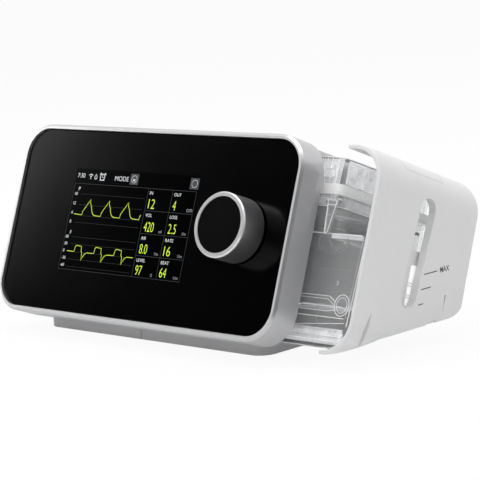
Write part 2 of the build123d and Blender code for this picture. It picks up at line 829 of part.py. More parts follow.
def base_screws():
    """The screws that hold the left half of the base to the housing."""
    screws = []
    for x, y in base_screw_places():
        seat = BASE_BOTTOM + SCREW_HEAD
        head = rod(SCREW_HEAD_RADIUS, (x, y, BASE_BOTTOM), (x, y, seat))
        screws.append(head + rod(SCREW_RADIUS, (x, y, seat), (x, y, seat + SCREW_LENGTH)))
    return Compound(screws)


def heater_plate():
    """The metal plate that warms the tank, set in the deck and a little proud of it."""
    top = BASE_TOP + HEATER_PROUD
    size = (HEATER_LENGTH, HEATER_WIDTH, HEATER_CORNER)
    return slab(*size, top - HEATER_THICKNESS, top, HEATER_X, HEATER_Y)


def heater_element():
    """The flat heating film under the plate."""
    top = BASE_TOP + HEATER_PROUD - HEATER_THICKNESS
    size = (HEATER_LENGTH - 4, HEATER_WIDTH - 4, HEATER_CORNER - 2)
    return slab(*size, top - ELEMENT_THICKNESS, top, HEATER_X, HEATER_Y)


def heater_insulator():
    """The insulating block that presses the film up against the plate."""
    top = BASE_TOP + HEATER_PROUD - HEATER_THICKNESS - ELEMENT_THICKNESS
    size = (HEATER_LENGTH - 8, HEATER_WIDTH - 8, HEATER_CORNER - 4)
    return slab(*size, BASE_BOTTOM + BASE_WALL, top, HEATER_X, HEATER_Y)


# Blower and air path


def drum(radius, z0, z1):
    """A round plate on the blower's axis."""
    return rod(radius, (BLOWER_X, BLOWER_Y, z0), (BLOWER_X, BLOWER_Y, z1))


def motor_top():
    """The height of the motor's upper face."""
    return BLOWER_SPLIT - CAVITY_DEPTH


def blower_lower_case():
    """The lower half of the blower's case, with a pocket for the motor."""
    body = drum(BLOWER_RADIUS, BLOWER_BOTTOM, BLOWER_SPLIT)
    body -= drum(BLOWER_RADIUS - BLOWER_WALL, motor_top(), BLOWER_SPLIT + 1)
    body -= drum(MOTOR_RADIUS + MOTOR_GAP, motor_top() - MOTOR_HEIGHT, BLOWER_SPLIT)
    return body


def blower_upper_case():
    """The upper half of the blower's case, with the inlet in its lid and the outlet nozzle."""
    body = drum(BLOWER_RADIUS, BLOWER_SPLIT, BLOWER_TOP)
    start = (BLOWER_X, DUCT_Y, DUCT_Z)
    body += rod(DUCT_RADIUS + DUCT_WALL, start, (NOZZLE_END, DUCT_Y, DUCT_Z))
    body -= drum(BLOWER_RADIUS - BLOWER_WALL, BLOWER_SPLIT - 1, BLOWER_TOP - BLOWER_LID)
    body -= drum(BLOWER_INLET, BLOWER_SPLIT, BLOWER_TOP + 1)
    body -= rod(DUCT_RADIUS, start, (NOZZLE_END + 1, DUCT_Y, DUCT_Z))
    return body


def blower_motor():
    """The motor in the bottom of the blower, bored for its shaft."""
    body = drum(MOTOR_RADIUS, motor_top() - MOTOR_HEIGHT, motor_top())
    return body - drum(MOTOR_SHAFT_RADIUS + RUNNING_GAP, motor_top() - MOTOR_HEIGHT + 2, REACH)


def motor_shaft():
    """The shaft that carries the impeller."""
    start = motor_top() - MOTOR_HEIGHT + 2 + SEAM
    return drum(MOTOR_SHAFT_RADIUS, start, motor_top() + 1.5 + BLADE_HEIGHT)


def impeller():
    """The radial fan wheel, with blades that lean back from the way it turns."""
    bottom = motor_top() + 1.5
    top = bottom + IMPELLER_DISC
    wheel = drum(IMPELLER_RADIUS, bottom, top)
    length = IMPELLER_RADIUS - HUB_RADIUS - 1
    blade = block(-length / 2, length / 2, -BLADE_THICKNESS / 2, BLADE_THICKNESS / 2, 0, 1)
    blade = extrude(blade.faces().sort_by(Axis.Z)[-1], BLADE_HEIGHT - 1) + blade
    middle = (IMPELLER_RADIUS + HUB_RADIUS - 1) / 2
    for i in range(IMPELLER_BLADES):
        turned = Rot(0, 0, 360 * i / IMPELLER_BLADES) * Pos(middle, 0, 0) * Rot(0, 0, BLADE_LEAN)
        wheel += Pos(BLOWER_X, BLOWER_Y, top) * turned * blade
    wheel &= drum(IMPELLER_RADIUS, bottom, top + BLADE_HEIGHT)
    wheel += drum(HUB_RADIUS, bottom, top + BLADE_HEIGHT - 1)
    return wheel - drum(MOTOR_SHAFT_RADIUS, bottom - 1, top + BLADE_HEIGHT)


def silicone_mounts():
    """Three soft feet between the blower and its posts."""
    bottom = BLOWER_BOTTOM - MOUNT_HEIGHT
    waist = MOUNT_HEIGHT / 4
    feet = []
    for x, y in blower_posts():
        foot = rod(MOUNT_RADIUS, (x, y, bottom), (x, y, BLOWER_BOTTOM))
        ends = ((x, y, bottom + waist), (x, y, BLOWER_BOTTOM - waist))
        groove = pipe(MOUNT_RADIUS + 1, MOUNT_RADIUS - MOUNT_GROOVE, *ends)
        feet.append(foot - groove)
    return Compound(feet)


def inlet_foam():
    """The foam that quiets the air on its way into the blower."""
    foam = block(
        BLOWER_X - FOAM_LENGTH / 2,
        BLOWER_X + FOAM_LENGTH / 2,
        FOAM_FRONT,
        FOAM_REAR,
        BLOWER_TOP,
        BLOWER_TOP + FOAM_HEIGHT,
    )
    return foam - drum(BLOWER_INLET, 0, REACH)


def outlet_duct():
    """The soft sleeve from the blower's nozzle to the bay wall."""
    ends = ((NOZZLE_END, DUCT_Y, DUCT_Z), (0, DUCT_Y, DUCT_Z))
    return pipe(DUCT_RADIUS + DUCT_WALL, DUCT_RADIUS, *ends)


def outlet_manifold():
    """The box that leads the moist air from the tank's return port to the rear."""
    rear = INNER_REAR + OUTLET_FLANGE_THICKNESS
    half = MANIFOLD_HEIGHT / 2
    wall = MANIFOLD_WALL
    body = block(MANIFOLD_LEFT, 0, OUTLET_Y - half, OUTLET_Y + half, rear, MANIFOLD_FRONT)
    body -= block(
        MANIFOLD_LEFT + wall,
        -wall,
        OUTLET_Y - half + wall,
        OUTLET_Y + half - wall,
        rear + wall,
        MANIFOLD_FRONT - wall,
    )
    body -= rod(RETURN_RADIUS, (-wall - 1, OUTLET_Y, RETURN_Z), (1, OUTLET_Y, RETURN_Z))
    mouth = OUTLET_BORE + MANIFOLD_STEP
    body -= rod(mouth, (OUTLET_X, OUTLET_Y, rear - 1), (OUTLET_X, OUTLET_Y, rear + wall + 1))
    return lean(body)


def air_outlet():
    """The 22 mm connector for the patient's hose, which stands out of the rear wall."""
    flange_front = INNER_REAR + OUTLET_FLANGE_THICKNESS
    end = CASE_REAR - OUTLET_REACH
    centre = (OUTLET_X, OUTLET_Y)
    spigot = rod(OUTLET_RADIUS, (*centre, end), (*centre, CASE_REAR))
    spigot += rod(OUTLET_SEAT, (*centre, CASE_REAR), (*centre, INNER_REAR))
    spigot += rod(OUTLET_FLANGE, (*centre, INNER_REAR), (*centre, flange_front))
    return lean(spigot - rod(OUTLET_BORE, (*centre, end - 1), (*centre, flange_front + 1)))


def flow_sensor():
    """The flow and pressure sensor on top of the manifold."""
    bottom = OUTLET_Y + MANIFOLD_HEIGHT / 2
    half = SENSOR_SIZE / 2
    middle = MANIFOLD_LEFT / 2
    front = MANIFOLD_FRONT - 2
    body = block(middle - half, middle + half, bottom, bottom + 5, front - SENSOR_SIZE, front)
    return lean(body)


# Air filter


def filter_frame():
    """The frame inside the rear wall that holds the filter."""
    front = INNER_REAR + FILTER_THICKNESS + FRAME_LIP
    outer = FRAME_WIDTH
    width = COVER_WIDTH / 2
    height = COVER_HEIGHT / 2
    body = block(-width - outer, width + outer, -height - outer, height + outer, INNER_REAR, front)
    pocket = block(-width + 1, width - 1, -height + 1, height - 1, INNER_REAR - 1, front - FRAME_LIP)
    rest = 1 + FRAME_REST
    hole = block(-width + rest, width - rest, -height + rest, height - rest, INNER_REAR, front + 1)
    return lean(Pos(FILTER_X, FILTER_Y, 0) * (body - pocket - hole))


def air_filter():
    """The filter pad."""
    width = COVER_WIDTH / 2 - 1
    height = COVER_HEIGHT / 2 - 1
    rear = INNER_REAR + SEAM
    pad = block(-width, width, -height, height, rear, INNER_REAR + FILTER_THICKNESS)
    return lean(Pos(FILTER_X, FILTER_Y, 0) * pad)


def filter_cover():
    """The slotted cover in the rear wall, with its lower edge rounded about the hinge."""
    y, z = filter_hinge()
    width = COVER_WIDTH / 2
    top = FILTER_Y + COVER_HEIGHT / 2
    body = block(FILTER_X - width, FILTER_X + width, y, top, CASE_REAR, INNER_REAR)
    body += rod(HOUSING_WALL / 2, (FILTER_X - width, y, z), (FILTER_X + width, y, z))
    slot = width - 7
    first = FILTER_X - SLOT_PITCH * (COVER_SLOTS - 1) / 2
    for i in range(COVER_SLOTS):
        x = first + i * SLOT_PITCH
        half = GRILLE_SLOT / 2
        body -= block(x - half, x + half, FILTER_Y - slot / 2, FILTER_Y + slot / 2, -REACH, 0)
    return lean(body - filter_wire(HINGE_WIRE + RUNNING_GAP))


def filter_cover_pin():
    """The filter cover's hinge wire."""
    return lean(filter_wire(HINGE_WIRE))


# Data port


def data_socket():
    """The socket for a data card or stick, open to the left."""
    mouth = LEFT_WALL + SEAM
    middle = (PORT_FRONT + PORT_REAR) / 2
    half_w = SOCKET_WIDTH / 2
    half_h = SOCKET_HEIGHT / 2
    wall = SOCKET_WALL
    end = mouth + SOCKET_DEPTH
    body = block(mouth, end, PORT_Y - half_h, PORT_Y + half_h, middle - half_w, middle + half_w)
    body -= block(
        mouth - 1,
        end - wall,
        PORT_Y - half_h + wall,
        PORT_Y + half_h - wall,
        middle - half_w + wall,
        middle + half_w - wall,
    )
    return lean(body)


def port_board():
    """The small board that carries the socket."""
    top = PORT_Y - SOCKET_HEIGHT / 2
    rear = PORT_REAR - PORT_BOARD_OVERLAP
    front = PORT_FRONT + PORT_BOARD_OVERLAP
    right = LEFT_WALL + PORT_BOARD_WIDTH
    return lean(block(LEFT_WALL, right, top - BOARD_THICKNESS, top, rear, front))


def port_cover():
    """The flap over the data port, with its lower edge rounded about the hinge."""
    x, y = port_hinge()
    top = PORT_Y + PORT_HEIGHT / 2
    body = block(-HALF_WIDTH, LEFT_WALL, y, top, PORT_REAR, PORT_FRONT)
    body += rod(HOUSING_WALL / 2, (x, y, PORT_REAR), (x, y, PORT_FRONT))
    return lean(body - port_wire(HINGE_WIRE + RUNNING_GAP))


def port_cover_pin():
    """The port flap's hinge wire."""
    return lean(port_wire(HINGE_WIRE))


# Power inlet, start button and boards


def power_inlet():
    """The low-voltage power socket in the rear wall."""
    centre = (INLET_X, INLET_Y)
    rear = CASE_REAR - INLET_FLANGE_THICKNESS
    body = rod(INLET_FLANGE, (*centre, rear), (*centre, CASE_REAR))
    body += rod(INLET_RADIUS, (*centre, CASE_REAR), (*centre, CASE_REAR + INLET_LENGTH))
    body -= rod(INLET_BORE, (*centre, rear - 1), (*centre, rear + INLET_BORE_DEPTH))
    return lean(body)


def start_button():
    """The round start button in the roof."""
    top = HALF_HEIGHT + START_PROUD
    under = ROOF - SEAM
    body = rod(START_RADIUS, (START_X, under, START_Z), (START_X, top, START_Z))
    body = chamfer(body.edges().group_by(Axis.Y)[-1], 0.4)
    low = under - START_FLANGE_THICKNESS
    body += rod(START_FLANGE, (START_X, low, START_Z), (START_X, under, START_Z))
    return lean(body)


def start_switch():
    """The switch under the start button, on its own small board."""
    top = ROOF - SWITCH_DEPTH
    half_l = SWITCH_BOARD_LENGTH / 2
    half_w = SWITCH_BOARD_WIDTH / 2
    half = SWITCH_SIZE / 2
    board = block(-half_l, half_l, top - BOARD_THICKNESS, top, -half_w, half_w)
    board += block(-half, half, top, top + SWITCH_HEIGHT, -half, half)
    return lean(Pos(START_X, 0, START_Z) * board)


def power_board():
    """The power and motor board on the housing floor, with its tall components."""
    bottom = FLOOR_TOP + STANDOFF_HEIGHT
    top = bottom + BOARD_THICKNESS
    width = POWER_BOARD_WIDTH / 2
    length = POWER_BOARD_LENGTH / 2
    board = block(-width, width, -length, length, bottom, top)
    board += block(-9, 5, -20, -6, top, top + 9)
    for y in (2, 12, 22):
        board += rod(4, (-5, y, top), (-5, y, top + 10))
    board += block(2, 11, 4, 26, top, top + 6)
    return Pos(POWER_BOARD_X, POWER_BOARD_Y, 0) * board


def speaker():
    """The small speaker of the alarm, on the housing floor."""
    base = (SPEAKER_X, SPEAKER_Y, FLOOR_TOP)
    body = rod(SPEAKER_RADIUS, base, (SPEAKER_X, SPEAKER_Y, FLOOR_TOP + SPEAKER_HEIGHT))
    top = FLOOR_TOP + SPEAKER_HEIGHT
    return body - rod(SPEAKER_RADIUS - 2, (SPEAKER_X, SPEAKER_Y, top - 1), (SPEAKER_X, SPEAKER_Y, top))


# Humidifier drawer


def ramp_wedge(z, depth, ramp, top_y, foot_y, outward=1.0):
    """A wedge-shaped pocket in the drawer's side: deep at one end and nothing at the other."""
    face = HALF_WIDTH

    def section(y, d, r):
        corners = [(face + outward, z), (face - d, z), (face + outward, z + r)]
        outline = make_face(Polyline(*corners, close=True))
        return Plane(origin=(0, y, 0), x_dir=(1, 0, 0), z_dir=(0, -1, 0)) * outline

    return loft([section(top_y, 0.05, 0.6), section(foot_y, depth, ramp)], ruled=True)


def tank_shell():
    """The white cover of the drawer: top, side, rear and a lip round the lower front corner."""
    left = BAY_EDGE + SEAM
    inner_face = HALF_WIDTH - SHELL_WALL
    body = case_solid()
    body = fillet(body.edges().group_by(Axis.Z)[-1], SHELL_EDGE)
    hollow = case_solid(SHELL_WALL, CASE_FRONT + 1)
    body -= hollow
    body &= block(left, REACH, -REACH, REACH, -REACH, REACH)
    body -= block(0, LIP_END_X, -REACH, LIP_TOP_Y, -REACH, REACH)
    inner = Pos(-SHELL_WALL, 0, -GRIP_WALL) * ramp_wedge(
        GRIP_Z, GRIP_DEPTH, GRIP_RAMP + GRIP_WALL, GRIP_TOP_Y, GRIP_FOOT_Y, 0.2
    )
    body += inner & case_solid()
    body -= ramp_wedge(GRIP_Z, GRIP_DEPTH, GRIP_RAMP, GRIP_TOP_Y, GRIP_FOOT_Y)
    body -= ramp_wedge(NOTCH_Z, NOTCH_DEPTH, NOTCH_RAMP, NOTCH_FOOT_Y, NOTCH_TOP_Y)
    body += level_slot(COLLAR_WALL, HALF_WIDTH - COLLAR_DEPTH, inner_face + 0.5)
    body -= level_slot(0, TANK_RIGHT, REACH)
    body -= block(
        BUTTON_LEFT - BUTTON_GAP,
        BUTTON_RIGHT + BUTTON_GAP,
        0,
        REACH,
        BUTTON_REAR - BUTTON_GAP,
        BUTTON_FRONT + BUTTON_GAP,
    )
    low = TANK_SHOULDER_Y - TANK_PAD_HEIGHT
    half = TANK_PAD_WIDTH / 2
    for z in (FRONT_PAD_Z, REAR_PAD_Z):
        body += block(TANK_RIGHT, inner_face + 0.5, low, TANK_SHOULDER_Y, z - half, z + half)
    strip_top = SHELL_BOTTOM + STRIP_HEIGHT
    strip = block(HALF_WIDTH - STRIP_DEPTH, REACH, STRIP_FRONT, STRIP_REAR, 0, strip_top)
    return pull((lean(body) & side_outline(SHELL_BOTTOM, lip=True)) - strip)


def level_slot(grow, left, right):
    """A block in line with the slot in the drawer's side that shows the water level."""
    across = Plane(origin=(left, SLOT_Y, SLOT_Z), x_dir=(0, 1, 0), z_dir=(1, 0, 0))
    outline = Rot(0, 0, -SLOT_TILT) * SlotOverall(SLOT_LENGTH + 2 * grow, SLOT_WIDTH + 2 * grow)
    return across * extrude(outline, right - left)


def release_button():
    """The flush button in the drawer's upper corner, with the hook that locks the drawer."""
    skin = case_solid()
    core = case_solid(BUTTON_DEPTH, CASE_FRONT + 1)
    pad = (skin - core) & block(BUTTON_LEFT, BUTTON_RIGHT, 0, REACH, BUTTON_REAR, BUTTON_FRONT)
    bottom = HOOK_ARM_TOP - HOOK_ARM
    stem = block(BUTTON_LEFT, BUTTON_LEFT + 3, bottom, HALF_HEIGHT - BUTTON_DEPTH, HOOK_REAR, HOOK_FRONT)
    stem &= case_solid()
    arm = block(HOOK_NOSE_LEFT, BUTTON_LEFT + 3, bottom, HOOK_ARM_TOP, HOOK_REAR, HOOK_FRONT)
    nose_right = HOOK_NOSE_LEFT + HOOK_NOSE_WIDTH
    nose = block(HOOK_NOSE_LEFT, nose_right, bottom, HOOK_NOSE_TOP, HOOK_REAR, HOOK_FRONT)
    return pull(lean(pad + stem + arm + nose))


def tub_prism(inset, front, rear):
    """The tub's lower part, wider at the shoulder than at its foot, in the case frame."""
    right = TANK_RIGHT - inset
    foot = TANK_FOOT_RIGHT - inset
    left = TANK_LEFT + inset
    top = TANK_SHOULDER_Y - inset
    pad = TANK_SHOULDER_Y - TANK_PAD_HEIGHT
    low = -CASE_HEIGHT
    slope = (foot - right) / (TANK_FOOT_Y - pad)
    far = right + slope * (low - pad)
    points = [(left, top), (right, top), (right, pad), (far, low), (left, low)]
    outline = make_face(Polyline(*points, close=True))
    body = Pos(0, 0, rear + inset) * extrude(outline, front - rear - 2 * inset)
    upright = body.edges().filter_by(lambda e: abs((e @ 1 - e @ 0).Y) > CASE_HEIGHT / 3)
    return fillet(upright, TANK_CORNER - inset)


def neck(inset, y0, y1, right=NECK_RIGHT, front=NECK_FRONT, rear=NECK_REAR):
    """A rounded upright block in line with the tank's neck, in the case frame."""
    width = right - TANK_LEFT - 2 * inset
    depth = front - rear - 2 * inset
    outline = RectangleRounded(width, depth, max(NECK_CORNER - inset, 1.0))
    place = Plane(
        origin=((right + TANK_LEFT) / 2, y0, (front + rear) / 2),
        x_dir=(1, 0, 0),
        z_dir=(0, 1, 0),
    )
    return place * extrude(outline, y1 - y0)


def ear_places():
    """The two ears that hold the latch's pin, as ranges of X."""
    half = LATCH_WIDTH / 2 + SEAM
    return [
        (LATCH_X - half - LATCH_EAR, LATCH_X - half),
        (LATCH_X + half, LATCH_X + half + LATCH_EAR),
    ]


def tank_tub():
    """The clear tub: a wide lower part, a narrower neck, its rim and the latch's ears."""
    wall = TANK_WALL
    body = lean(tub_prism(0, TANK_FRONT, TANK_REAR))
    body &= side_outline(TANK_BOTTOM, TANK_BEHIND, TANK_FOOT_ROUND)
    hollow = side_outline(TANK_FLOOR_TOP, TANK_BEHIND + wall, TANK_FOOT_ROUND - wall)
    body -= lean(tub_prism(wall, TANK_FRONT, TANK_REAR)) & hollow
    shoulder = TANK_SHOULDER_Y
    overhang = RIM_OVERHANG
    solid_neck = neck(0, shoulder - wall, RIM_Y)
    rim = neck(
        0,
        RIM_Y - RIM_THICKNESS,
        RIM_Y,
        NECK_RIGHT + overhang,
        NECK_FRONT + overhang,
        NECK_REAR - overhang,
    )
    body += lean(solid_neck + rim)
    body -= lean(neck(wall, shoulder - 2 * wall, RIM_Y + 1))
    ears = ear_places()
    low = LATCH_PIVOT_Y - LATCH_BARREL
    high = RIM_Y - RIM_THICKNESS
    body += lean(block(ears[0][0], ears[1][1], low, high, NECK_FRONT - wall, NECK_FRONT))
    for x0, x1 in ears:
        body += lean(block(x0, x1, low, high, NECK_FRONT, LATCH_Z + LATCH_BARREL))
    for x0, x1 in hinge_ears():
        back = HINGE_Z - HINGE_LUG_RADIUS
        ear = rod(HINGE_LUG_RADIUS, (x0, HINGE_Y, HINGE_Z), (x1, HINGE_Y, HINGE_Z))
        ear += block(x0, x1, RIM_Y - RIM_THICKNESS, HINGE_Y, back, NECK_REAR)
        body += lean(ear - gasket_solid(SEAM / 2))
    body -= lean(hinge_wire(HINGE_PIN_RADIUS))
    body -= lean(latch_axle(LATCH_PIN_RADIUS))
    y, z = to_case(DUCT_Y, DUCT_Z)
    left = TANK_LEFT - 1
    body -= lean(rod(DUCT_RADIUS, (left, y, z), (left + wall + 2, y, z)))
    body -= lean(rod(RETURN_RADIUS, (left, OUTLET_Y, RETURN_Z), (left + wall + 2, OUTLET_Y, RETURN_Z)))
    body -= plate_block(0, TANK_BOTTOM - 1, TANK_FLOOR_TOP + 1)
    return pull(body)


def plate_block(grow, z0, z1):
    """A rounded block in line with the tank's warm plate."""
    size = (PLATE_LENGTH + 2 * grow, PLATE_WIDTH + 2 * grow, PLATE_CORNER + grow)
    return slab(*size, z0, z1, PLATE_X, PLATE_Y)


def tank_base_plate():
    """The metal plate in the tank's floor, which lies over the heater."""
    pan = plate_block(0, TANK_BOTTOM, TANK_FLOOR_TOP)
    flange = plate_block(PLATE_FLANGE, TANK_FLOOR_TOP, TANK_FLOOR_TOP + PLATE_THICKNESS)
    return pull(pan + flange)


def tank_base_seal():
    """The soft ring that seals the metal plate to the tub's floor."""
    outer = plate_block(PLATE_FLANGE + BASE_SEAL_WIDTH, TANK_FLOOR_TOP, TANK_FLOOR_TOP + BASE_SEAL_HEIGHT)
    inner = plate_block(PLATE_FLANGE, TANK_FLOOR_TOP - 1, TANK_FLOOR_TOP + BASE_SEAL_HEIGHT + 1)
    return pull(outer - inner)


def tank_gasket():
    """The milky silicone ring between the tub and the lid."""
    hollow = neck(TANK_WALL, RIM_Y - 1, GASKET_TOP + 1)
    return pull(lean(gasket_solid() - hollow))


def tank_lid():
    """The clear lid, open downwards, with the knuckle of its hinge."""
    body = neck(0, GASKET_TOP, LID_TOP_Y)
    body -= neck(LID_WALL, GASKET_TOP - 1, LID_TOP_Y - LID_WALL)
    x0, x1 = knuckle_ends()
    knuckle = rod(HINGE_LUG_RADIUS, (x0, HINGE_Y, HINGE_Z), (x1, HINGE_Y, HINGE_Z))
    back = HINGE_Z - HINGE_LUG_RADIUS
    knuckle += block(x0, x1, HINGE_Y, GASKET_TOP + LID_WALL, back, NECK_REAR)
    knuckle -= gasket_solid(SEAM / 2)
    knuckle -= hinge_wire(HINGE_PIN_RADIUS)
    return pull(lean(body + knuckle))


def gasket_solid(grow=0.0):
    """The gasket's ring filled in, in the case frame."""
    overhang = RIM_OVERHANG / 2 + grow
    sides = (NECK_RIGHT + overhang, NECK_FRONT + overhang, NECK_REAR - overhang)
    return neck(0, RIM_Y, GASKET_TOP, *sides)


def knuckle_ends():
    """The X range of the lid's knuckle, in the middle of the tank."""
    middle = (TANK_LEFT + NECK_RIGHT) / 2
    return middle - HINGE_LUG_LENGTH, middle + HINGE_LUG_LENGTH


def hinge_ears():
    """The X ranges of the tub's two ears, one at each end of the lid's knuckle."""
    x0, x1 = knuckle_ends()
    return [
        (x0 - SEAM - HINGE_EAR_LENGTH, x0 - SEAM),
        (x1 + SEAM, x1 + SEAM + HINGE_EAR_LENGTH),
    ]


def hinge_wire(radius):
    """The lid hinge's pin, in the case frame."""
    x0, x1 = knuckle_ends()
    reach = SEAM + HINGE_EAR_LENGTH
    return rod(radius, (x0 - reach, HINGE_Y, HINGE_Z), (x1 + reach, HINGE_Y, HINGE_Z))


def lid_hinge_pin():
    """The pin of the lid's hinge."""
    return pull(lean(hinge_wire(HINGE_PIN_RADIUS)))


def splash_baffle():
    """The plate inside the neck that keeps the water from splashing into the air ports."""
    plate = neck(TANK_WALL, BAFFLE_Y, BAFFLE_Y + BAFFLE_THICKNESS)
    middle_x = (TANK_LEFT + NECK_RIGHT) / 2 + 12
    plate -= rod(BAFFLE_HOLE, (middle_x, 0, SLOT_Z), (middle_x, REACH, SLOT_Z))
    y, z = to_case(DUCT_Y, DUCT_Z)
    outer = DUCT_RADIUS + TUBE_WALL + RUNNING_GAP
    plate -= rod(outer, (0, y, z), (TANK_LEFT + TANK_WALL + INLET_TUBE_LENGTH, y, z))
    outer = RETURN_RADIUS + TUBE_WALL + RUNNING_GAP
    end = TANK_LEFT + TANK_WALL + OUTLET_TUBE_LENGTH
    plate -= rod(outer, (0, OUTLET_Y, RETURN_Z), (end, OUTLET_Y, RETURN_Z))
    return pull(lean(plate))


def tank_inlet_tube():
    """The tube that leads the blower's air into the tank."""
    y, z = to_case(DUCT_Y, DUCT_Z)
    start = TANK_LEFT + TANK_WALL
    ends = ((start, y, z), (start + INLET_TUBE_LENGTH, y, z))
    return pull(lean(pipe(DUCT_RADIUS + TUBE_WALL, DUCT_RADIUS, *ends)))


def tank_outlet_tube():
    """The tube that leads the moist air back out of the tank."""
    start = TANK_LEFT + TANK_WALL
    ends = ((start, OUTLET_Y, RETURN_Z), (start + OUTLET_TUBE_LENGTH, OUTLET_Y, RETURN_Z))
    return pull(lean(pipe(RETURN_RADIUS + TUBE_WALL, RETURN_RADIUS, *ends)))


def latch_axle(radius):
    """The axle of the lid's latch, through both ears, in the case frame."""
    ears = ear_places()
    return rod(radius, (ears[0][0], LATCH_PIVOT_Y, LATCH_Z), (ears[1][1], LATCH_PIVOT_Y, LATCH_Z))


def latch_pin():
    """The pin that the lid's latch swings on."""
    return pull(lean(latch_axle(LATCH_PIN_RADIUS)))


def lid_latch():
    """The clear V-shaped latch that hangs from the rim at the tank's front right corner."""
    half = LATCH_WIDTH / 2
    tip_x = LATCH_X - half + 0.9 + LATCH_TIP_RADIUS
    tip_y = LATCH_PIVOT_Y - LATCH_LENGTH + LATCH_TIP_RADIUS
    top = LATCH_PIVOT_Y
    outline = make_face(
        Polyline(
            (LATCH_X - half, top),
            (LATCH_X + half, top),
            (tip_x + LATCH_TIP_RADIUS * 0.9, tip_y + 0.5),
            (tip_x - LATCH_TIP_RADIUS, tip_y),
            close=True,
        )
    )
    outline += Pos(tip_x, tip_y) * Circle(LATCH_TIP_RADIUS)
    blade = Pos(0, 0, LATCH_Z - LATCH_THICKNESS / 2) * extrude(outline, LATCH_THICKNESS)
    barrel = rod(LATCH_BARREL, (LATCH_X - half, top, LATCH_Z), (LATCH_X + half, top, LATCH_Z))
    body = blade + barrel - latch_axle(LATCH_PIN_RADIUS + RUNNING_GAP)
    return pull(lean(body))


PIECES = [
    bezel,
    front_glass,
    front_carrier,
    display_module,
    main_board,
    encoder_body,
    encoder_plunger,
    knob_shaft,
    knob_body,
    knob_face,
    housing,
    rear_cover,
    bay_wall,
    drawer_rails,
    port_seals,
    base_left,
    base_right,
    rubber_feet,
    base_screws,
    heater_plate,
    heater_element,
    heater_insulator,
    blower_lower_case,
    blower_upper_case,
    blower_motor,
    motor_shaft,
    impeller,
    silicone_mounts,
    inlet_foam,
    outlet_duct,
    outlet_manifold,
    air_outlet,
    flow_sensor,
    filter_frame,
    air_filter,
    filter_cover,
    filter_cover_pin,
    data_socket,
    port_board,
    port_cover,
    port_cover_pin,
    power_inlet,
    start_button,
    start_switch,
    power_board,
    speaker,
    tank_shell,
    release_button,
    tank_tub,
    tank_base_plate,
    tank_base_seal,
    tank_gasket,
    tank_lid,
    lid_hinge_pin,
    splash_baffle,
    tank_inlet_tube,
    tank_outlet_tube,
    latch_pin,
    lid_latch,
]


def build_all():
    """Builds every piece, and moves them all so that zero is under the middle of their box."""
    shapes = {piece.__name__: piece() for piece in PIECES}
    boxes = [shape.bounding_box() for shape in shapes.values()]
    low = [min(tuple(box.min)[i] for box in boxes) for i in range(3)]
    high = [max(tuple(box.max)[i] for box in boxes) for i in range(3)]
    shift = (-(low[0] + high[0]) / 2, -(low[1] + high[1]) / 2, -low[2])
    placed = {name: Pos(*shift) * shape for name, shape in shapes.items()}
    return placed, shift, low, high


placed, shift, low, high = build_all()
os.makedirs("parts", exist_ok=True)
for name, shape in placed.items():
    export_step(shape, f"parts/{name}.step")
print("nodes", len(placed))
print("moved by", [round(value, 4) for value in shift])
print("box", [round(b - a, 3) for a, b in zip(low, high)])
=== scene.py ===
# %% [markdown]
# # A bilevel breathing machine, dressed round its CAD model
#
# The machine stands on a night stand and blows air through a hose. Its case leans back, its
# front is a black glass with a display and a knob, and its right end is a drawer with a clear
# water tank. The CAD model gives every part its true size and place. This lesson gives the
# parts their finishes, draws the display, adds the small mouldings of the clear tank, and
# lights it all like a product photograph.
#
# The case could be modelled again by hand in Blender, but then it would drift away from the
# CAD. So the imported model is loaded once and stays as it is, and all else is placed from it.

import json
import math

import bmesh
import bpy
from mathutils import Matrix, Vector


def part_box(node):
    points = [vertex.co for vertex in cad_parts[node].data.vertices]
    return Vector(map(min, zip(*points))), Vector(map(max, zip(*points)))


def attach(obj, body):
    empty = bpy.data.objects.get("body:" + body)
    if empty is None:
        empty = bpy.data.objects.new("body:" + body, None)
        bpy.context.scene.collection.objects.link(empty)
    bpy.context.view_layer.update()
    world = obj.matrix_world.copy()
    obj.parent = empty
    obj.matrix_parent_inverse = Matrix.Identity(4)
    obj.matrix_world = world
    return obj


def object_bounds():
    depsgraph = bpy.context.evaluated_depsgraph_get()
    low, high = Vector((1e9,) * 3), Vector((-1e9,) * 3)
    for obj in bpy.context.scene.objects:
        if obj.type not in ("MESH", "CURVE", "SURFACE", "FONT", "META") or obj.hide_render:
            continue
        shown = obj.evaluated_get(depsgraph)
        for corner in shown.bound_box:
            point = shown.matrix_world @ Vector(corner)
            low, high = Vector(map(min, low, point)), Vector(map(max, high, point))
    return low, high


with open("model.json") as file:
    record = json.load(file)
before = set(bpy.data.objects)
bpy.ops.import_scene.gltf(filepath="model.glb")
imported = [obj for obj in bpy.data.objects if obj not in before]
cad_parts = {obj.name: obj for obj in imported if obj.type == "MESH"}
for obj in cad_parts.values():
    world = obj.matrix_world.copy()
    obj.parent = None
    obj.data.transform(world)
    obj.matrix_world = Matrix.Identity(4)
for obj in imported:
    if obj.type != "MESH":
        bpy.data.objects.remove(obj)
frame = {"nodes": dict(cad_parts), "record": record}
CAD_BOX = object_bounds()
NODES = frame["nodes"]
SCENE = bpy.context.scene
print("CAD nodes", len(NODES))

# %% [markdown]
# ## Two drawing boards
#
# Most of what is added here is measured on the front glass: so far to the right, so far up,
# so far out. The glass leans back, and in world coordinates every line would need the sine and
# cosine of that lean. A matrix that stands on the glass does it once. Shapes are made in
# millimetres on a flat board, and the matrix carries them to their place. A second board lies
# on the right side of the drawer, level with the table, because the water marks are level.

# %% The boards
MM = 0.001
LEAN = math.radians(21.0)
RIGHT = Vector((1, 0, 0))
UP = Vector((0, math.sin(LEAN), math.cos(LEAN)))
OUT = Vector((0, -math.cos(LEAN), math.sin(LEAN)))


